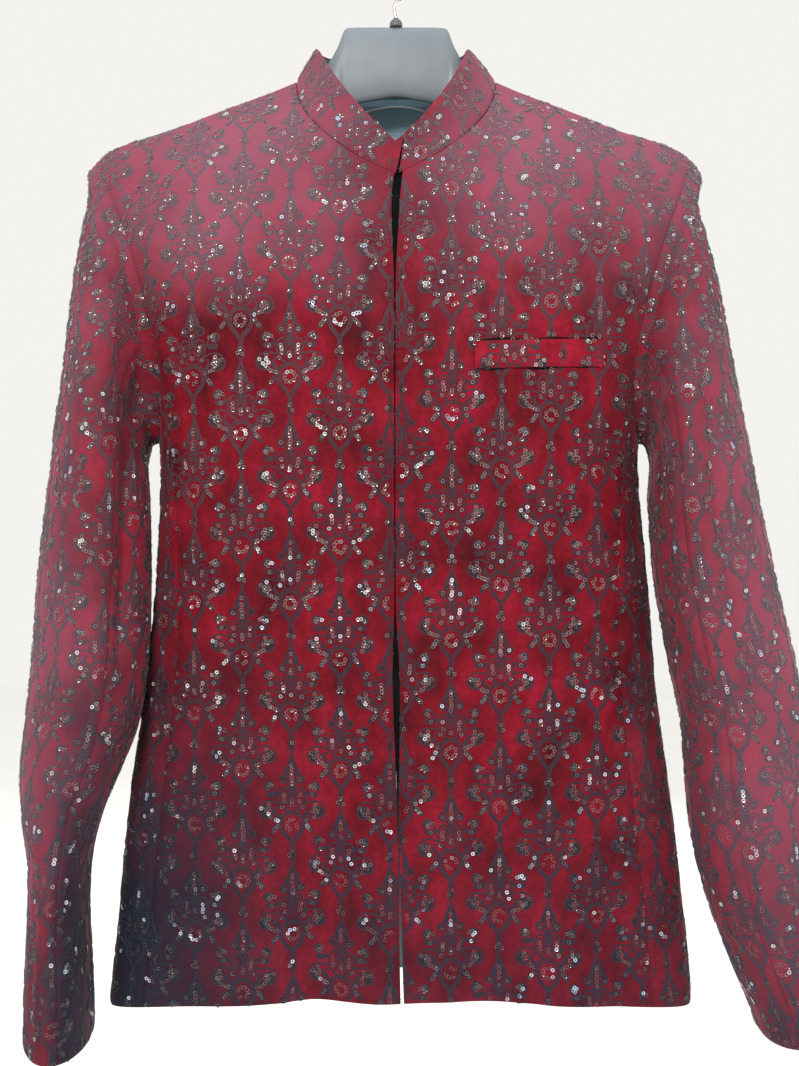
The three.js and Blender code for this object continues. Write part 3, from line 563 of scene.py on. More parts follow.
def sleeve_panel(name, side, first, last):
    """A top or under sleeve between two armhole samples, from the armhole down to the cuff."""
    turn = (mix(first, last, spaced(44, length=210.0)) * 360 / ARMHOLE_SAMPLES)[None, :]
    head = np.concatenate([[0, 0.008, 0.02, 0.045], np.linspace(0.08, 0.97, 26)])[:, None]
    head_points = sleeve_head_point(side, *np.broadcast_arrays(turn, head))
    rows = np.concatenate([np.linspace(0, 9, 84)[:-1], [8.95, 8.98, 9]])[:, None]
    rings = {k: column(v, rows) for k, v in SLEEVES[side].items()}
    tuck = unit(head_points[1:2] - head_points[:1]) * np.array(SLEEVE_TUCK)[:, None, None]
    P = np.concatenate([head_points[:1] - tuck, head_points, sleeve_ring_point(side, rings, turn)])
    outward = (P - [side * SLEEVE_CENTRE[0], SLEEVE_CENTRE[1], 0]) * [1, 1, 0]
    N = grid_normals(P, outward)
    flat_turn = np.broadcast_to(turn % 360, P.shape[:2])
    from_edge = arc(P, 0) - SLEEVE_TUCK[0]
    away_from_edge = smooth(from_edge, 2, 14)
    depth = sleeve_fold(side, flat_turn, P[..., 2])
    depth = (depth + crease_depth(SLEEVE_CREASES, side, flat_turn, P[..., 2], 0.95)) * away_from_edge
    beside = 0.35 + 0.65 * np.abs(sind(flat_turn))
    depth = depth - ARMHOLE_TROUGH * beside * bell(from_edge - 6.5, 4.5)
    P = P + N * depth[..., None]
    hang = np.interp(-P[..., 2], -SLEEVE_HANG["z"], SLEEVE_HANG["left" if side > 0 else "right"])
    outside = np.maximum(0, cosd(flat_turn))
    P[..., 0] += side * hang * outside * smooth(from_edge, 1, 42)
    N = grid_normals(P, outward)
    N[:4] = N[4]
    down = arc(P, 0)
    ring = len(head) + len(SLEEVE_TUCK)
    V = P[ring, :, 2][None, :] - (down - down[ring])
    around = arc(P[ring:], 1)
    is_top = first > UNDER_SLEEVE_FIRST
    zero = np.argmin(np.abs(turn[0] - SLEEVE_ZERO_TURN - 360 * is_top))
    around = around - around[:, zero][:, None]
    U = np.concatenate([np.repeat(around[:1], ring, 0), around])
    # On the front and back of a top sleeve's head the cloth's threads run straight up, not to the armhole.
    for j in range(ring * is_top):
        for sign in (1, -1):
            face = np.sign(sind(turn[0])) == sign
            if face.sum() > 2:
                x, u = side * P[ring, face, 0], around[0, face]
                order = np.argsort(x)
                x, u = x[order], u[order]
                here = side * P[j, face, 0]
                straight = np.interp(here, x, u) + np.sign(u[0] - u[1]) * np.maximum(0, x[0] - here)
                share = smooth(np.abs(sind(turn[0, face])), 0.15, 0.85)
                U[j, face] = mix(U[j, face], straight, share)
                V[j, face] = mix(V[j, face], P[j, face, 2], share)
    return Panel(name, P, N, U, V, ("start", "end", "bottom"))


def collar_point(side, angle, share):
    foot = body_point(side, angle, np.zeros(np.shape(angle)))
    front = angle < 0
    squareness = 2 / COLLAR_TOP.power
    across = signed_power(cosd(angle), squareness)
    reach = np.abs(sind(angle)) ** squareness
    x = side * COLLAR_TOP.half * across + COLLAR_TOP.shiftX * np.where(front, 1 - reach, 1)
    y = COLLAR_TOP.centreY + np.where(front, -COLLAR_TOP.front, COLLAR_TOP.back) * reach
    z_end = np.where(front, COLLAR_TOP.zFront, COLLAR_TOP.zBack)
    z = ring_height(angle, COLLAR_TOP.zSide, z_end, np.where(front, COLLAR_TOP.rise, 1),
                    np.where(front, COLLAR_TOP_RISE_POWER, RISE_POWER_BELOW), COLLAR_TOP.power)
    return mix(foot, np.stack([x, y, z], -1), share[..., None])


def collar_front_angle(outward, share, least=-1):
    """The angle at which the collar's front is this far out from the middle."""
    half = mix(BODY["left"][0], COLLAR_TOP.half, share)
    return -np.degrees(np.arccos(signed_power(np.clip(outward / half, least, 1), COLLAR_TOP.power / 2)))


def collar_end_angle(side, share):
    half_gap = mix(COLLAR_FOOT_HALF_GAP, COLLAR_TOP.halfGap, share)
    x = mix(COLLAR_FOOT_X, COLLAR_TOP.frontX, share) + side * half_gap
    return collar_front_angle(side * x, share)


def collar_grid(low, high, inset=0.0):
    """The band from its right end round the back to its left end, top edge first."""
    shares = mix(high, low, spaced(8, ends=(0.8, 2.0, 4.0), length=40.0))[:, None]
    halves = []
    for side in (-1, 1):
        t = np.concatenate([[0, 0.006, 0.015], np.linspace(0.03, 1, 34)])[None, :]
        front = collar_end_angle(side, shares) * (1 - t)
        back = np.broadcast_to(np.linspace(0, 90, 27)[None, 1:], (len(shares), 26))
        angle = np.concatenate([front, back], 1)
        P = collar_point(side, angle, np.broadcast_to(shares, angle.shape))
        halves.append(P if side < 0 else P[:, :-1][:, ::-1])
    P = np.concatenate(halves, 1)
    N = grid_normals(P, P * [1, 1, 0] - np.array([0, COLLAR_TOP.centreY, 0]))
    return P - N * inset, N


def collar_panel():
    P, N = collar_grid(0.008, 1)
    around = COLLAR_MEAN_RADIUS * np.arctan2(P[..., 0], P[..., 1] - COLLAR_TOP.centreY)
    return Panel("collar_band", P, N, around, P[..., 2].copy(), ALL_EDGES)


def front_place(x, z, side=1, face=-1):
    """Angle and row of the body's surface at x and z."""
    x, z = floats(x, z)
    above = lambda row: body_point(side, angle_at_x(side, x, row, face), row)[..., 2] > z
    row = bisect(np.full(x.shape, float(HEM_ROW)), 28, above)
    return angle_at_x(side, x, row, face), row


def on_front(name, x, z, lift, rolled=()):
    """A panel on the left front at x and z, standing off by lift, charted from the welt's inner corner."""
    P, N = body_sheet(1, *front_place(x, z))
    return Panel(name, P + N * lift, N, x - WELT.xInner, z - WELT.zInner, rolled)


def welt_painted_shadow_panel():
    """A dark sheet of painted shadow along parts of the welt's long edges, where the pocket's mouth gapes."""
    across, up = np.linspace(0, 1, 60)[None, :], np.linspace(0, 1, 9)[:, None]
    wavy = lambda least, *waves: least + sum(h * bell(across - at, width) for h, at, width in waves)
    above = wavy(0.5, (1.5, 0.2, 0.12), (0.9, 0.62, 0.1), (1.1, 0.93, 0.06))
    below = wavy(0.4, (1.2, 0.12, 0.08), (1.5, 0.5, 0.12), (0.7, 0.85, 0.08))
    x = mix(WELT.xInner + 1.5, WELT.xOuter - 1.0, across) + 0 * up
    z = mix(WELT.zInner, WELT.zOuter, across) + mix(WELT.height + above, -below, up)
    return on_front("welt_painted_shadow", x, z, PAINTED_SHADOW_LIFT)


def welt_panel():
    across = spaced(30, length=95.0)[None, :]
    up = spaced(6, ends=(0.7, 1.8, 3.4), length=20.0)[::-1][:, None]
    x = mix(WELT.xInner, WELT.xOuter, across) + 0 * up
    z = mix(WELT.zInner, WELT.zOuter, across) + up * WELT.height
    return on_front("breast_welt", x, z, WELT_WALL + SEAM_GAP, ALL_EDGES)


# ---- Meshes ----


def make_object(name, vertices, faces, materials, face_materials=None, uv=None, sharp=True):
    """A mesh piece in metres. faces is a list of index arrays, each of equal polygons."""
    mesh = bpy.data.meshes.new(name)
    mesh.from_pydata(np.asarray(vertices, float) * MM, [], [face for part in faces for face in part.tolist()])
    for material in materials:
        mesh.materials.append(material)
    if face_materials is not None:
        mesh.polygons.foreach_set("material_index", np.asarray(face_materials, np.int32))
    if uv is not None:
        loops = np.concatenate([f.ravel() for f in faces])
        mesh.uv_layers.new(name="cloth").data.foreach_set("uv", (np.asarray(uv, float)[loops] * MM).ravel())
    mesh.validate()
    mesh.shade_smooth()
    if sharp:
        mesh.set_sharp_from_angle(angle=SMOOTH_ANGLE)
    piece = bpy.data.objects.new(name, mesh)
    bpy.context.scene.collection.objects.link(piece)
    return piece


def shell(panel, wall, outer_material, inner_material):
    """The closed cloth wall of a panel: outside, lined inside and turned edges."""
    P, N = panel.P, panel.N
    nj, ni = P.shape[:2]
    vertices = np.concatenate([P.reshape(-1, 3), (P - N * wall).reshape(-1, 3)])
    index = np.arange(nj * ni).reshape(nj, ni)
    quads = lambda a: np.stack([a[:-1, :-1], a[1:, :-1], a[1:, 1:], a[:-1, 1:]], -1).reshape(-1, 4)
    outer, inner = quads(index), quads(index + nj * ni)[:, ::-1]
    border = np.concatenate([index[0, :-1], index[:-1, -1], index[-1, :0:-1], index[:0:-1, 0]])
    following = np.roll(border, -1)
    rim = np.stack([border, following, following + nj * ni, border + nj * ni], -1)
    a, b, c = (vertices[outer[len(outer) // 2, k]] for k in range(3))
    if np.cross(b - a, c - a) @ N[nj // 2, ni // 2] < 0:
        outer, inner, rim = outer[:, ::-1], inner[:, ::-1], rim[:, ::-1]
    uv = np.stack([panel.U, panel.V], -1).reshape(-1, 2)
    kinds = np.concatenate([np.zeros(len(outer)), np.ones(len(inner)), np.zeros(len(rim))])
    return make_object(panel.name, vertices, [outer, inner, rim], [outer_material, inner_material],
                       kinds, np.concatenate([uv, uv]))


# ---- The embroidery's repeat, charted in millimetres from the medallion's centre ----

PERIOD_X, PERIOD_Y = 72.2, 82.2  # a column every half PERIOD_X, shifted by half PERIOD_Y
# Lines, each with its width, whether it closes, has a mirror image and is of the dark thread | its points
CORDS = """
    1.3 1 0 0 | 0 8.4  4.4 7.2  7.2 3.2  7.3 -1.6  5.2 -6.2  2.3 -9.6  0 -12.4  -2.3 -9.6  -5.2 -6.2
    -7.3 -1.6  -7.2 3.2  -4.4 7.2;
    1.1 0 1 0 | 1 -18.6  1 -14.2  3.5 -10.5  6.6 -7  8.9 -2  8.8 3.8  5.4 8.6  0 10.2;
    0.9 0 1 0 | 0.9 -18.6  2.3 -21.4  1.2 -24  2.9 -25.6  0.8 -27.4  0 -30;
    1.3 0 1 0 | 0 52.6  1.3 48.5  3.2 44  4.6 40.2  4.8 37.4;
    1.1 0 1 0 | 4.8 37.4  7.6 37  8.9 34.4  7.6 31.8  5 31.6  3.9 33.8  5.2 35.6;
    1 0 1 0 | 5 31.4  3 30.6  2.1 28.2  2.6 26.4;
    0.8 0 1 0 | 0.3 48  1.6 43  1.7 36  1 30  0.9 21;
    0.7 0 1 0 | 2.9 41.5  3.1 36  2.6 31.5;
    1.2 0 1 0 | 2.6 26.4  5.6 28.2  8.6 25.6  9.7 20.8  8.8 15.6  6.6 12.2  4.4 11.2  2.6 10.4;
    0.9 0 1 0 | 2.6 26.4  2.2 21.5  3.2 16.6  4.6 13.4  6.6 12.2;
    0.7 0 1 0 | 4.4 25.2  3.9 21.5  4.6 17.2  6.1 15.4  7.3 17.6  7.7 21  6.6 24.4  4.4 25.2;
    0.9 1 0 0 | 0 20  1.7 17.8  1.5 14.2  0 12.2  -1.5 14.2  -1.7 17.8;
    1.1 0 1 0 | 9.6 15.8  13 17.4  17.6 17.9  22 15.9  24.4 11.6  23.2 7.2  19 5  15.4 6.6  14.2 10.4
    16.2 13.8  19.6 13.9  21.2 11.2  19.4 8.8;
    0.9 0 1 0 | 9.5 13  11.6 13.4  12.2 10.4  10.2 8.6  9 6.4;
    1 0 1 0 | 9.2 22.8  11.2 24.6  12.6 28.2  15 31.8  18.6 31.8  20.3 28.8  18.6 25.9  15.8 26.4  15.4 28.9;
    0.9 1 1 0 | 11 23.8  13.6 21.3  17.4 21.4  19.2 23.4  16.2 24.4;
    1 0 1 0 | 8.8 2.4  11.8 3.6  14.8 5.2  16.6 6.8;
    0.9 1 1 0 | 9.2 1.2  11.6 0.6  14.2 -2.4  15.4 -6.4  12.6 -4.4  10.4 -1.8;
    0.7 0 0 0 | 0 -14  0 -19"""
# The same for areas filled with close satin stitches: their middle lines
FILLS = """
    2.3 0 0 0 | 0 32  0 27  0 22.4;
    1.5 0 1 0 | 1.5 47  2.9 41.5  3.3 37;
    1.3 0 1 0 | 1 20.8  2.6 22.6  3.2 25.4;
    2.7 0 1 1 | 5.1 34.5  6.4 34.8  7.7 34.2;
    2.9 0 1 1 | 16 29.8  17.6 30.5  18.7 28.7  17.4 27.2;
    3.3 0 1 1 | 17.4 12  19.8 12.6  21.6 10.4  19.7 7.9  17.2 8.4;
    1.7 0 1 0 | 12.4 22.9  15.2 22.6  17.8 22.8;
    1.5 0 1 0 | 10.4 -0.3  12.3 -2.3  14.5 -5.2;
    1.9 0 1 0 | 9.4 4.6  11.6 8  12.4 11.6;
    2.2 0 0 1 | 0 -20.2  0 -23  0 -26"""
# Sequins: places along short strings, with and without a mirror image
SEQUINS_MIRRORED = pairs("""
    6.3 34.3  6.2 22.6  5.9 20  5.6 17.4  7.6 13.2  17.2 12.6  19.2 12  19.6 9.9  17.7 8.6  15.9 10.2
    21.9 13  17.4 15.4  13.2 29.2  15 29.8  16.8 30.4  16.6 27.4  18 28.4  14.9 22.8  10.2 3.4  12.1 4.2
    14 5  15.9 6.1  10.9 -0.4  12.2 -2.1  13.5 -3.9""")
SEQUINS_MIDDLE = pairs("""
    0 44.6  0 42  0 39.2  0 36  0 33.4  0 30.8  0 17.2  0 14.8  0.2 -20.6  -2 -23.4  1.9 -24.2""")
MEDALLION_RING = (9, 3.9)  # sequins and radius
SEQUIN = Values(outer=1.5, inner=0.62, lift=0.62, dish=0.14, sides=7, tilt=13.0, scatter=0.22)
SEQUIN_RUN = 3  # neighbours on one thread that share one painted glint
SEQUIN_SHARE_SEWN = 0.84
CORD_HEIGHT, CORD_SINK, CORD_SPREAD, FILL_SPREAD = 0.55, 0.12, 1.5, 1.35
CURVE_STEP, CURVE_TURN = 5.5, 40.0


def spline(p, closed):
    """A smooth line through charted points, sampled more closely where it turns."""
    if closed:
        q = np.concatenate([p[-1:], p, p[:2]])
    else:
        q = np.concatenate([2 * p[:1] - p[1:2], p, 2 * p[-1:] - p[-2:-1]])
    out = []
    for k in range(len(q) - 3):
        a, b, c, d = q[k:k + 4]
        turn = abs(math.degrees(math.atan2(*np.cross(
            np.append(c - a, 0), np.append(d - b, 0))[2:3], np.dot(c - a, d - b))))
        n = max(1, math.ceil(np.linalg.norm(c - b) / CURVE_STEP), math.ceil(turn / CURVE_TURN))
        for t in np.arange(n) / n:
            out.append(0.5 * (2 * b + (c - a) * t + (2 * a - 5 * b + 4 * c - d) * t * t
                              + (3 * b - a - 3 * c + d) * t ** 3))
    out.append(out[0] if closed else p[-1])
    return np.array(out)


def charted_lines(chart, spread):
    """Width, line and thread of a chart's lines and of their mirror images."""
    lines = []
    for row in chart.split(";"):
        head, points = row.split("|")
        width, closed, mirrored, dark = (float(value) for value in head.split())
        line = spline(pairs(points), closed)
        for flip in (1, -1) if mirrored else (1,):
            lines.append((width * spread, line * [flip, 1], int(dark)))
    return lines


CORD_LINES = charted_lines(CORDS, CORD_SPREAD) + charted_lines(FILLS, FILL_SPREAD)


def sequin_places():
    count, radius = MEDALLION_RING
    ring = radius * np.stack(circle(count), -1)
    return np.concatenate([SEQUINS_MIRRORED, SEQUINS_MIRRORED * [-1, 1], SEQUINS_MIDDLE, ring])


def lattice(panel, u0, v0):
    """Centres of the repeat that a panel can show."""
    half_x, half_y = PERIOD_X / 2, PERIOD_Y / 2
    steps = lambda values, start, half, more: range(math.floor((values.min() - start) / half) - more,
                                                    math.ceil((values.max() - start) / half) + more + 1)
    return np.array([(u0 + a * half_x, v0 + b * half_y) for a in steps(panel.U, u0, half_x, 1)
                     for b in steps(panel.V, v0, half_y, 2) if (a + b) % 2 == 0])


def embroider(panel, u0, v0, materials):
    """The panel's cords as one mesh of low ridges."""
    centres = lattice(panel, u0, v0)
    vertices, faces, uvs, kinds, start = [], [], [], [], 0
    for width, line, dark in CORD_LINES:
        places = centres[:, None, :] + line[None]
        j, i, inside = panel.locate(places[..., 0].ravel(), places[..., 1].ravel())
        shape = places.shape[:2]
        inside = inside.reshape(shape)
        P = panel.sample(panel.P, j, i).reshape(*shape, 3)
        N = unit(panel.sample(panel.N, j, i)).reshape(*shape, 3)
        closed = np.allclose(line[0], line[-1])
        before = np.concatenate([P[:, -2:-1] if closed else P[:, :1], P[:, :-1]], 1)
        after = np.concatenate([P[:, 1:], P[:, 1:2] if closed else P[:, -1:]], 1)
        tangent = unit(after - before)
        across = unit(np.cross(N, tangent)) * (width / 2)
        swell = CORD_HEIGHT * min(1.0, 0.45 + 0.33 * width)
        strands = np.stack([P - across - N * CORD_SINK, P + N * swell, P + across - N * CORD_SINK], 2)
        length = np.insert(np.cumsum(np.linalg.norm(np.diff(line, axis=0), axis=1)), 0, 0)
        uv = np.zeros((*shape, 3, 2))
        uv[..., 0] = length[None, :, None]
        uv[..., 1] = np.array([-1.0, 0, 1]) * width / 2
        index = start + np.arange(shape[0] * shape[1] * 3).reshape(*shape, 3)
        good = inside[:, 1:] & inside[:, :-1]
        for k in (0, 1):
            left, right = index[..., k], index[..., k + 1]
            quad = np.stack([left[:, :-1], left[:, 1:], right[:, 1:], right[:, :-1]], -1)
            faces.append(quad[good])
            kinds.append(np.full(good.sum(), dark))
        vertices.append(strands.reshape(-1, 3))
        uvs.append(uv.reshape(-1, 2))
        start += strands.size // 3
    vertices, faces, uvs = np.concatenate(vertices), np.concatenate(faces), np.concatenate(uvs)
    used, faces = np.unique(faces, return_inverse=True)
    faces = faces.reshape(-1, 4)
    return make_object(panel.name + "_cords", vertices[used], [faces], materials, np.concatenate(kinds),
                       uv=uvs[used], sharp=False)


def sew_sequins(panel, u0, v0, material, rng):
    """The panel's ring sequins, each a flat ring with its own slight tilt."""
    centres = lattice(panel, u0, v0)
    places = (centres[:, None, :] + sequin_places()[None]).reshape(-1, 2)
    places = places + rng.normal(0, SEQUIN.scatter, places.shape)
    sewn = rng.random(len(places)) < SEQUIN_SHARE_SEWN
    run = np.arange(len(sequin_places())) // SEQUIN_RUN
    # Each sequin's chance of a painted glint, shared along short runs.
    painted_glint_chance = rng.random((len(centres), run.max() + 1))[:, run].ravel() * 0.8 + rng.random(len(places)) * 0.2
    j, i, inside = panel.locate(places[:, 0], places[:, 1])
    edge = (j > 0.6) & (j < panel.P.shape[0] - 1.6) & (i > 1.2) & (i < panel.P.shape[1] - 2.2)
    keep = inside & sewn & edge
    j, i = j[keep], i[keep]
    N = unit(panel.sample(panel.N, j, i))
    P = panel.sample(panel.P, j, i) + N * SEQUIN.lift
    N = unit(N + rng.normal(0, math.tan(math.radians(SEQUIN.tilt)) * 0.62, N.shape))
    side = unit(np.cross(N, [0.0, 0.0, 1.0]))
    n = SEQUIN.sides
    ring = rings_about(side, np.cross(side, N), n)
    dish, P = N[:, None] * SEQUIN.dish, P[:, None]
    rims = np.stack([P + ring * SEQUIN.outer + dish, P + ring * SEQUIN.inner - dish * 0.4], 1)
    index = np.arange(len(P) * 2 * n).reshape(len(P), 2, n)
    a, b = index[:, 0], index[:, 1]
    faces = np.stack([a, np.roll(a, -1, 1), np.roll(b, -1, 1), b], -1).reshape(-1, 4)
    uv = np.zeros((*rims.shape[:3], 2))
    uv[:, 0, :, 0] = 1 / MM
    uv[..., 1] = painted_glint_chance[keep][:, None, None] / MM
    return make_object(panel.name + "_sequins", rims.reshape(-1, 3), [faces], [material],
                       uv=uv.reshape(-1, 2), sharp=False)


# ---- Materials ----


class Nodes:
    """A node material built step by step."""

    def __init__(self, name, **sockets):
        self.material = bpy.data.materials.new(name)
        self.material.use_nodes = True
        self.tree = self.material.node_tree
        self.shader = next(n for n in self.tree.nodes if n.type == "BSDF_PRINCIPLED")
        for key, value in sockets.items():
            self.feed(self.shader, key, value)
        self.here = self.place()

    def feed(self, node, key, value):
        """Link a socket to its source, or set its number or colour."""
        socket = node.inputs[key.replace("_", " ") if isinstance(key, str) else key]
        if isinstance(value, bpy.types.NodeSocket):
            self.tree.links.new(value, socket)
        else:
            socket.default_value = (*value, 1) if socket.type == "RGBA" else value

    def node(self, kind, inputs, **fields):
        """The first output of a new node."""
        made = self.tree.nodes.new(kind)
        for key, value in fields.items():
            setattr(made, key, value)
        for key, value in inputs.items():
            self.feed(made, key, value)
        return made.outputs[0]

    def into(self, **sockets):
        for key, value in sockets.items():
            self.feed(self.shader, key, value)
        return self.material

    def source(self, name="Object"):
        return self.tree.nodes.new("ShaderNodeTexCoord").outputs[name]

    def place(self, name="Object", scale=(1, 1, 1)):
        return self.node("ShaderNodeMapping", {"Vector": self.source(name), "Scale": scale})

    def noise(self, scale, detail=3.0, vector=None):
        return self.node("ShaderNodeTexNoise", {"Vector": vector or self.here, "Scale": scale,
                                                "Detail": detail, "Roughness": 0.55})

    def wave(self, vector, scale, distortion):
        """Diagonal stripes: a thread's twist or a twill."""
        return self.node("ShaderNodeTexWave", {"Vector": vector, "Scale": scale, "Distortion": distortion},
                         bands_direction="DIAGONAL").node.outputs["Fac"]

    def ramp(self, factor, *stops):
        colour = self.node("ShaderNodeValToRGB", {"Fac": factor})
        elements = colour.node.color_ramp.elements
        while len(elements) < len(stops):
            elements.new(0.5)
        for element, (at, value) in zip(elements, stops):
            element.position = at
            element.color = (*value, 1) if isinstance(value, tuple) else (value, value, value, 1)
        return colour

    def mottled(self, scale, detail, low, high):
        """Two colours or shares in soft spots."""
        return self.ramp(self.noise(scale, detail), (0.3, low), (0.7, high))

    def blend(self, factor, a, b, kind="MIX"):
        mixed = self.node("ShaderNodeMix", {0: factor}, data_type="RGBA", blend_type=kind)
        self.feed(mixed.node, 6, a)
        self.feed(mixed.node, 7, b)
        return mixed.node.outputs[2]

    def multiply(self, a, b):
        return self.blend(1.0, a, b, "MULTIPLY")

    def math(self, operation, a, b=0.0):
        return self.node("ShaderNodeMath", {0: a, 1: b}, operation=operation)

    def scaled(self, value, share):
        return self.math("MULTIPLY", value, share)

    def rest(self, value):
        return self.math("SUBTRACT", 1.0, value)

    def axis(self, name, source="Object"):
        return self.node("ShaderNodeSeparateXYZ", {"Vector": self.source(source)}).node.outputs[name]

    def depth(self):
        """Metres below the hook's top."""
        return self.scaled(self.axis("Z"), -1.0)

    def rise(self, value, low, high):
        return self.node("ShaderNodeMapRange", {"Value": value, "From_Min": low, "From_Max": high},
                         interpolation_type="SMOOTHSTEP")

    def painted_light_zones(self, colour, painted_highlight_colour, painted_shade_share, painted_shade_colour):
        """A colour with a painted highlight on the shoulders and outer sleeves, and blue-black painted shade
        low down, most on one side.
        """
        wobble = self.math("SUBTRACT", self.noise(9), 0.5)
        x = self.math("ADD", self.axis("X"), self.scaled(wobble, 0.11))
        out = self.math("ABSOLUTE", x)
        depth = self.math("ADD", self.depth(), self.scaled(wobble, 0.16))
        # Painted highlight: high on the outer sleeves and across the tops of the shoulders.
        painted_highlight = self.scaled(self.rise(out, 0.15, 0.30), self.rest(self.rise(depth, 0.55, 0.95)))
        top = self.scaled(self.rise(out, -0.03, 0.09), self.rest(self.rise(depth, 0.14, 0.32)))
        painted_highlight = self.math("MAXIMUM", painted_highlight, self.scaled(top, 1.25))
        # Painted shade: blue-black low on the wearer's right, and a little all along the hem.
        outer = self.rise(self.math("ADD", self.scaled(x, -1.0), self.scaled(out, 0.55)), 0.02, 0.31)
        body = self.rest(self.rise(self.math("ABSOLUTE", self.axis("X")), 0.226, 0.25))
        painted_shade = self.scaled(self.scaled(outer, body), self.rise(depth, 0.50, 0.74))
        painted_shade = self.math("MAXIMUM", painted_shade, self.scaled(self.rise(depth, 0.60, 0.84), 0.34))
        colour = self.blend(self.scaled(painted_highlight, 0.62), colour, painted_highlight_colour)
        return self.blend(self.scaled(painted_shade, painted_shade_share), colour, painted_shade_colour)

    def bump(self, height, strength, distance, **normal):
        sockets = dict(Height=height, Strength=strength, Distance=distance, **normal)
        return self.node("ShaderNodeBump", sockets)


def tinted(colour, strength):
    return tuple(strength * c for c in colour)


def velvet_material(name="crimson_velvet", strength=1.0):
    """Deep pile, mottled where it is brushed. Only the coat's own strength has the painted highlight and
    painted shade zones.
    """
    m = Nodes(name, Roughness=0.85, Sheen_Weight=0.2, Sheen_Roughness=0.36,
              Sheen_Tint=(1.0, 0.42, 0.52), Specular_IOR_Level=0.1)
    nap = m.blend(0.35, m.noise(24, 4), m.noise(70, 3, m.place(scale=(1, 1, 0.35))))
    pile = m.noise(260)
    reds = (0.34, (0.055, 0.0026, 0.0060)), (0.5, (0.140, 0.0034, 0.0100)), (0.64, (0.215, 0.0058, 0.0180))
    base = m.ramp(nap, *((at, tinted(red, strength)) for at, red in reds))
    base = m.multiply(base, m.ramp(pile, (0.3, 0.70), (0.7, 1.0)))
    if strength == 1.0:
        # A pale mauve-red painted highlight and a blue-black painted shade.
        base = m.painted_light_zones(base, (0.240, 0.075, 0.116), 0.95, (0.007, 0.013, 0.024))
    return m.into(Base_Color=base,
                  Normal=m.bump(m.noise(1500, 2), 0.25, 0.00025, Normal=m.bump(pile, 0.35, 0.0006)))


def cord_material(name, low, middle, high):
    """Twisted thread, with painted light: lighter towards the shoulders and darker low down, and the painted
    highlight and painted shade zones.
    """
    m = Nodes(name, Roughness=0.6, Sheen_Weight=0.06, Specular_IOR_Level=0.14)
    # Painted light by height: the low, middle and high colours run from the hem up to the shoulders.
    height_painted_light = m.blend(0.35, m.math("ADD", m.axis("Z"), 0.95), m.noise(9, 2))
    colour = m.ramp(height_painted_light, (0.30, low), (0.50, middle), (0.68, high))
    colour = m.painted_light_zones(colour, (0.156, 0.112, 0.146), 0.85, (0.012, 0.020, 0.032))
    twist = m.wave(m.place("UV", (1, 1.6, 1)), 420.0, 0.6)
    return m.into(Base_Color=m.multiply(colour, m.mottled(700, 2, 0.62, 1.0)),
                  Normal=m.bump(twist, 0.5, 0.0003))


def sequin_material():
    """Clear rings: most show only their rims, fainter lower down as painted shade, and some get a painted
    glint, white to pale blue.
    """
    m = Nodes("clear_sequin", Roughness=0.15, Specular_IOR_Level=0.7, Coat_Weight=0.4, Coat_Roughness=0.08)
    radial, painted_glint_chance = m.axis("X", "UV"), m.axis("Y", "UV")
    faint = m.ramp(radial, (0.0, (0.10, 0.075, 0.075)), (0.2, (0.03, 0.018, 0.02)),
                   (0.5, (0.04, 0.025, 0.026)), (0.74, (0.19, 0.135, 0.13)))
    # Painted glint: white to pale blue, on the sequins whose chance is high.
    painted_glint_colour = m.ramp(m.noise(55, 1), (0.45, (0.52, 0.50, 0.50)), (0.66, (0.34, 0.42, 0.58)))
    painted_glint_colour = m.multiply(painted_glint_colour, m.ramp(radial, (0.0, 0.55), (0.3, 0.8), (0.6, 1.0)))
    painted_glint = m.ramp(painted_glint_chance, (0.78, 0.0), (0.88, 1.0))
    # Painted shade: the faint rings show less lower down.
    dimmer = m.rest(m.scaled(m.rise(m.depth(), 0.45, 0.72), 0.6))
    clear = m.multiply(m.ramp(radial, (0.0, 0.85), (0.2, 0.35), (0.5, 0.35), (0.74, 0.92)), dimmer)
    return m.into(Base_Color=m.blend(painted_glint, faint, painted_glint_colour),
                  Alpha=m.blend(painted_glint, clear, m.ramp(radial, (0.0, 0.95), (1.0, 1.0))))


TWILL = (1, 1, 1.4), 900.0, 1.2  # stretch, scale, distortion


def lining_material(name, deep, light):
    """Satin, less lit below the neckline than just inside it."""
    m = Nodes(name, Roughness=0.42, Sheen_Weight=0.2, Specular_IOR_Level=0.5, Anisotropic=0.4)
    below = m.scaled(m.rise(m.depth(), 0.108, 0.140), 0.45)
    twill = m.wave(m.place(scale=TWILL[0]), *TWILL[1:])
    return m.into(Base_Color=m.blend(below, m.mottled(18, 3, deep, light), tinted(deep, 0.40)),
                  Normal=m.bump(twill, 0.18, 0.0002, Normal=m.bump(m.noise(35), 0.25, 0.0012)))


def shade_facing_material():
    # Near-black painted shade: the underlap's dark cloth, darkened further to stand for the shade in the
    # gaps, and the welt's shadow sheet.
    m = Nodes("painted_shade_facing", Roughness=0.95, Specular_IOR_Level=0.03)
    return m.into(Base_Color=m.mottled(40, 3, (0.002, 0.003, 0.003), (0.005, 0.007, 0.007)),
                  Normal=m.bump(m.wave(m.place(scale=TWILL[0]), *TWILL[1:]), 0.2, 0.0002))


def plain_material(name, spots, low, high, grain, bump, stretch=1, roughness=None, **sockets):
    """A mottled colour with a fine grain."""
    m = Nodes(name, **sockets)
    if roughness:
        m.into(Roughness=m.mottled(60, 4, *roughness))
    return m.into(Base_Color=m.mottled(*spots, low, high),
                  Normal=m.bump(m.noise(*grain, m.place(scale=(1, 1, stretch))), *bump))


def plastic_material(name, strength):
    return plain_material(name, (12, 4), tinted((0.132, 0.152, 0.170), strength),
                          tinted((0.165, 0.186, 0.206), strength), (900, 2), (0.12, 0.0002),
                          roughness=(0.36, 0.52), Specular_IOR_Level=0.35)


# ---- The hanger ----

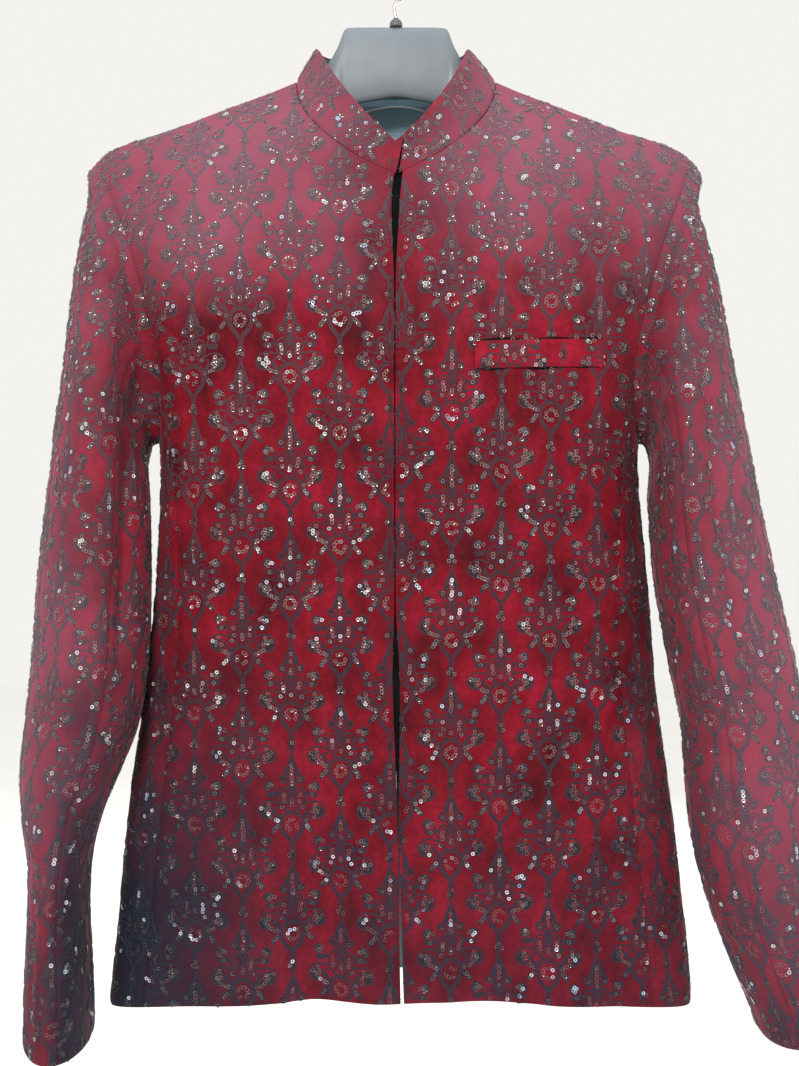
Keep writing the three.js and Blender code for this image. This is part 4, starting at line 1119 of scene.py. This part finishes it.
# From the middle to the end. drop stands for top where the coat rests, counted down from the coat's inside.
HANGER = table("x top drop bottom half y", """
    0 -58 nan -111.5 7 0
    28 -58 nan -116.5 7 0
    38 -58.4 nan -119 7 0
    41 -61 nan -120 7 0
    43.5 -70 nan -121 7 0
    50 -82 nan -123.5 7.5 1
    57 -91 nan -127 8 3
    65 -100.5 nan -131 8.5 5
    76 -107 nan -135 9 7
    92 nan 1.7 -141 11 8
    116 nan 1.1 -149 14 6
    145 nan 0.9 -160 18 4
    175 nan 0.8 -172 21 3
    202 nan 1.2 -184 20 1
    213 nan 1.5 -187 15 0
    217 nan 5 -183 10 0""")
HANGER_CLEARANCE, HANGER_POWER, HANGER_SIDES = 0.5, 2.2, 48
HANGER_PANEL = Values(half=44, depth=0.3)
BOSS = Values(height=7, z=-57.7, sides=40)
HOOK = Values(wire=1.6, shown=1.3, bend=20, sides=18, turns=range(-32, 203, 26))


def hanger_sections():
    """x, top, bottom, half and middle of the hanger's sections, with finer ones between."""
    neck, point = 0, SHOULDER_POINT_ROW
    z0, z1 = BODY["zSide"][neck], BODY["zSide"][point]
    x0, x1 = BODY["left"][neck], BODY["left"][point]
    slope = (z0 - z1) / (x1 - x0)
    below = (COAT_WALL + HANGER_CLEARANCE) * math.hypot(1, slope)
    x = HANGER["x"]
    line_top = mix(z0, z1, (x - x0) / (x1 - x0)) - below
    top = np.where(np.isnan(HANGER["top"]), line_top - HANGER["drop"], HANGER["top"])
    fine = np.linspace(-x[-1], x[-1], 435)
    columns = (top, HANGER["bottom"], HANGER["half"], HANGER["y"])
    sections = np.stack([fine] + [np.interp(np.abs(fine), x, values) for values in columns], 1)
    for k, reach in ((1, 2), (2, 10), (3, 5), (4, 7)):
        window = np.hanning(2 * reach + 3)[1:-1]
        padded = np.pad(sections[:, k], reach, mode="reflect", reflect_type="odd")
        sections[:, k] = np.convolve(padded, window / window.sum(), mode="valid")
    keep = (np.arange(len(fine)) % 3 == 0) | (np.abs(np.abs(fine) - 42) < 5)
    return sections[keep]


def tube_faces(rings, sides):
    index = np.arange(rings * sides).reshape(rings, sides)
    following = np.roll(index, -1, 1)
    quads = np.stack([index[:-1], following[:-1], following[1:], index[1:]], -1).reshape(-1, 4)
    return quads, index[0][::-1][None, :], index[-1][None, :]


def hanger_body(material):
    sections = hanger_sections()
    c, s = (signed_power(value, 2 / HANGER_POWER) for value in circle(HANGER_SIDES))
    x, top, bottom, half, middle = (sections[:, k][:, None] for k in range(5))
    z = (top + bottom) / 2 + (top - bottom) / 2 * s
    # A shallow panel lies inside a raised rim on both broad faces.
    panel_x = smooth(HANGER_PANEL.half - np.abs(x), 0, 3.2)
    panel_z = smooth(np.minimum(top - z, z - bottom), 3.0, 5.4)
    y = middle + (half - HANGER_PANEL.depth * panel_x * panel_z) * c
    vertices = np.stack(np.broadcast_arrays(x, y, z), -1).reshape(-1, 3)
    quads, first, last = tube_faces(len(sections), HANGER_SIDES)
    return make_object("hanger_shoulders", vertices, [quads, first, last], [material])


def swept_tube(name, route, radius, sides, material, knots=80):
    """A round wire along a route, with domed ends."""
    p = np.array(route, float)
    u = np.linspace(0, len(p) - 1, knots)
    line = np.stack([column(p[:, k], u) for k in range(3)], -1)
    tangent = unit(np.gradient(line, axis=0))
    side = unit(np.cross(tangent, [0, 1.0, 0]))
    up = np.cross(side, tangent)
    ends, shift = np.array([0.0, 0.6, 0.92]), np.array([0.0, -0.25, -0.7])[:, None] * radius
    radii = np.concatenate([ends, np.ones(knots), ends[::-1]]) * radius
    line = np.concatenate([line[:1] + tangent[:1] * shift, line, line[-1:] - tangent[-1:] * shift[::-1]])
    side, up = (np.concatenate([v[:1].repeat(3, 0), v, v[-1:].repeat(3, 0)]) for v in (side, up))
    vertices = line[:, None] + rings_about(side, up, sides) * np.maximum(radii, 0.02)[:, None, None]
    quads, first, last = tube_faces(len(line), sides)
    return make_object(name, vertices.reshape(-1, 3), [quads, first, last], [material])


def hanger_hook(material):
    neck_z = BOSS.z + BOSS.height + SEAM_GAP
    middle_z = HOOK.wire - HOOK.bend
    route = [(x, 0, neck_z + z) for x, z in pairs("0 0  -0.8 4.5  -1.2 9  1 13.3  8.2 16.6")]
    for degrees in HOOK.turns:
        c, s = math.cos(math.radians(degrees)), math.sin(math.radians(degrees))
        route.append((HOOK.bend * c, 0, middle_z + HOOK.bend * s))
    return swept_tube("hook_wire", route, HOOK.shown, HOOK.sides, material)


def hanger_boss(material):
    profile = pairs("0 5  2 5  3.4 4.7  4.5 4.1  5.3 3.2  5.8 2.3  6.8 2  7 1.9  6.4 1.8")
    c, s = circle(BOSS.sides)
    rings = [np.stack([r * c, r * s, np.full(len(c), BOSS.z + h)], -1) for h, r in profile]
    quads, first, last = tube_faces(len(rings), len(c))
    return make_object("hook_socket", np.concatenate(rings), [quads, first, last], [material])


# ---- The coat put together ----

velvet, welt_velvet, sequin = velvet_material(), velvet_material("welt_velvet", 1.45), sequin_material()
# Each thread's low, middle and high colours are painted light, lighter towards the shoulders.
cord = cord_material("grey_mauve_cord", (0.022, 0.018, 0.036), (0.042, 0.018, 0.027), (0.070, 0.034, 0.044))
dark_cord = cord_material("charcoal_cord", (0.009, 0.011, 0.020), (0.018, 0.014, 0.019),
                          (0.030, 0.022, 0.026))
lining = lining_material("teal_satin", (0.060, 0.160, 0.190), (0.095, 0.230, 0.260))
# A paler slate satin, lightened far past its own colour as painted light against the shade inside the neck.
neck_lining = lining_material("slate_satin_painted_light", (0.340, 0.560, 0.690), (0.440, 0.670, 0.790))
piping_cloth = lining_material("pale_piping", (0.78, 0.80, 0.82), (0.88, 0.89, 0.90))
facing, plastic = shade_facing_material(), plastic_material("grey_moulded_plastic", 1.0)
boss_plastic = plastic_material("socket_plastic", 0.58)
wire = plain_material("bright_wire", (40, 3), (0.54, 0.48, 0.45), (0.68, 0.62, 0.59), (2500, 2),
                      (0.1, 0.0001), stretch=0.05, Metallic=1.0, Roughness=0.26)
floor_look = plain_material("pale_floor", (3, 5), (0.945, 0.940, 0.915), (0.975, 0.970, 0.945), (90, 4),
                            (0.08, 0.001), Roughness=0.95, Specular_IOR_Level=0.1)
rng = np.random.default_rng(7)


def declare(piece, node=None):
    """Where a piece belongs: all ride on the root, and some stand for a solid."""
    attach(piece, "root")
    if node:
        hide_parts(node)
    return piece


def add_cloth(panel, node, wall, outer, inner, start=None):
    """A panel's shell, declared on the root, with the embroidery if a medallion's start is given."""
    piece = declare(shell(panel, wall, outer, inner), node)
    parts = []
    if start:
        parts = [embroider(panel, *start, [cord, dark_cord]), sew_sequins(panel, *start, sequin, rng)]
    for part in parts:
        declare(part)


# Where a medallion's centre falls on each panel, across and up.
REPEAT = {
    "coat_front_left": (4.3, -404.8), "coat_front_right": (-4.3, -418.5),
    "coat_back_left": (36.1, -404.8), "coat_back_right": (-36.1, -404.8),
    "coat_side_left": (0.0, -380.0), "coat_side_right": (0.0, -392.0),
    "sleeve_outer_left": (0.0, -430.0), "sleeve_outer_right": (0.0, -385.0),
    "sleeve_inner_left": (10.0, -420.0), "sleeve_inner_right": (-10.0, -400.0),
}


def add_velvet(panel, node):
    add_cloth(panel, node, COAT_WALL, velvet, lining, REPEAT[panel.name])


for side, word in ((1, "left"), (-1, "right")):
    front, flank = f"coat_front_{word}", f"coat_side_{word}"
    under, top = UNDER_SLEEVE_FIRST, UNDER_SLEEVE_LAST
    add_velvet(main_panel(front, side, -1), f"front_{word}")
    add_velvet(main_panel(f"coat_back_{word}", side, 1), f"back_{word}")
    add_velvet(side_panel(flank, side), f"side_{word}")
    add_velvet(sleeve_panel(f"sleeve_outer_{word}", side, top, under + ARMHOLE_SAMPLES),
               f"sleeve_top_{word}")
    add_velvet(sleeve_panel(f"sleeve_inner_{word}", side, under, top), f"sleeve_under_{word}")

collar = collar_panel()
add_cloth(collar, "collar", COLLAR_WALL, velvet, velvet, (150.2, -131.6))
# A near-black sheet of painted shadow behind the welt's edges.
painted_shadow = declare(shell(welt_painted_shadow_panel(), PAINTED_SHADOW_WALL, facing, facing))
add_cloth(welt_panel(), "chest_welt", WELT_WALL, welt_velvet, welt_velvet, (28.0, -7.0))


# The pale piping inside the back neck, in x and z.
PIPING_RADIUS, PIPING_STANDS = 0.75, 1.3
PIPING = pairs("""
    -52 -118  -40 -112.5  -30 -109  -22.6 -106.7  -9.7 -104.6  0.8 -104.1  15 -105  29.9 -109.1  40 -113
    52 -119""")


def collar_lining_panel():
    P, N = collar_grid(0.02, 0.965, COLLAR_WALL + SEAM_GAP)
    around = arc(P, 1)
    return Panel("collar_facing", P, N, around, arc(P, 0), ("start", "end"))


def inner_panel(name, left, rows, shares, body_angle, collar_angle, settled, U=None):
    """Cloth inside the collar and the body, from the grids of both sides joined in the middle."""
    halves = []
    for side in (-1, 1):
        P, N = body_sheet(side, *np.broadcast_arrays(body_angle(side), rows))
        behind = collar_point(side, *np.broadcast_arrays(collar_angle(side), shares))
        halves.append((np.concatenate([behind, P]), np.concatenate([N[:1]] * len(shares) + [N])))
    P, N = (np.where(left[..., None], halves[1][k], halves[0][k]) for k in (0, 1))
    inset = mix(NECK_TUCK, COAT_WALL + SEAM_GAP, smooth(rows[:, 0], rows[0, 0], settled))
    P = P - N * np.concatenate([np.full(len(shares), NECK_TUCK), inset])[:, None, None]
    return Panel(name, P, N, P[..., 0].copy() if U is None else U, P[..., 2].copy(), ())


def neck_lining_panel():
    """From inside the collar's foot down the inside of both backs."""
    turn = np.linspace(30, 150, 61)[None, :]
    shares, rows = np.array([0.16, 0.08, 0.02])[:, None], np.linspace(0.03, 2, 26)[:, None]
    angle = lambda side: np.where(turn <= 90, turn, 180 - turn)
    return inner_panel("back_neck_facing", turn > 90, rows, shares, angle, angle, 0.3)


def underlap_panel():
    """The strip behind the opening, up behind the collar's ends, near-black as painted shade."""
    rows, across = np.linspace(0.05, 11.4, 90)[:, None], np.linspace(-15, 15, 15)[None, :]
    shares = np.array([0.93, 0.7, 0.45, 0.22, 0.06])[:, None]
    x = column(BODY["frontX"], rows) + across
    collar_x = mix(COLLAR_FOOT_X, COLLAR_TOP.frontX, shares) + across * mix(1.0, 0.3, shares)
    U = np.concatenate([collar_x, x])
    return inner_panel("front_facing", U >= 0, rows, shares, lambda side: angle_at_x(side, x, rows),
                       lambda side: collar_front_angle(side * collar_x, shares, 0), 0.6, U)


neck_piping = []
for x, z in PIPING:
    side = 1 if x >= 0 else -1
    P, N = body_sheet(side, *front_place(x, z, side, 1))
    neck_piping.append(P - N * (COAT_WALL + SEAM_GAP + LINING_WALL + PIPING_STANDS) + [0, 0, z - P[2]])
piping = declare(swept_tube("neck_piping", neck_piping, PIPING_RADIUS, 10, piping_cloth))

for panel, node, look, extra in ((collar_lining_panel(), "collar_lining", lining, []),
                                 (neck_lining_panel(), "back_neck_lining", neck_lining, [piping]),
                                 (underlap_panel(), "fly_underlap", facing, [])):
    add_cloth(panel, node, LINING_WALL, look, look)

declare(hanger_body(plastic), "hanger_body")
declare(hanger_boss(boss_plastic), "hanger_boss")
declare(hanger_hook(wire), "hanger_hook")

# ---- Stage, light and camera ----

FLOOR_Z, FLOOR_RADIUS = -1.25, 6.0
floor_points = np.stack([*(FLOOR_RADIUS * value for value in circle(96)), np.full(96, FLOOR_Z)], -1) / MM
make_object("floor", floor_points, [np.arange(96)[None, :]], [floor_look])


def area_light(name, place, target, size, power, colour):
    data = bpy.data.lights.new(name, "AREA")
    data.shape, data.size, data.energy, data.color = "DISK", size, power, colour
    light = bpy.data.objects.new(name, data)
    light.location = place
    light.rotation_mode = "QUATERNION"
    light.rotation_quaternion = Vector(np.array(target) - np.array(place)).to_track_quat("-Z", "Y")
    bpy.context.scene.collection.objects.link(light)


area_light("key", (-0.55, -2.1, 0.45), (0, 0, -0.42), 0.7, 42, (1.0, 0.98, 0.95))
area_light("fill", (1.7, -1.5, -0.1), (0, 0, -0.45), 1.5, 10, (0.93, 0.96, 1.0))
area_light("top", (0.1, -0.5, 1.7), (0, 0, -0.3), 1.6, 12, (1.0, 1.0, 1.0))
area_light("back", (0.6, 2.3, 0.5), (0, 0, -0.42), 1.2, 22, (1.0, 0.99, 0.97))

world = bpy.data.worlds.new("studio")
world.use_nodes = True
world.node_tree.nodes["Background"].inputs["Color"].default_value = (1.0, 0.99, 0.96, 1)
world.node_tree.nodes["Background"].inputs["Strength"].default_value = 0.9
bpy.context.scene.world = world
bpy.context.scene.view_settings.view_transform = "Standard"

CAMERA_PLACE, HALF_VIEW = (0.0027, -0.973, -0.4495), 413 / 973
camera_data = bpy.data.cameras.new("camera")
camera_data.sensor_width = 36
camera_data.lens = camera_data.sensor_width / 2 / HALF_VIEW
camera_data.clip_start = 0.05
camera = bpy.data.objects.new("camera", camera_data)
camera.location = CAMERA_PLACE
camera.rotation_euler = (math.radians(90), 0, 0)
bpy.context.scene.collection.objects.link(camera)
bpy.context.scene.camera = camera
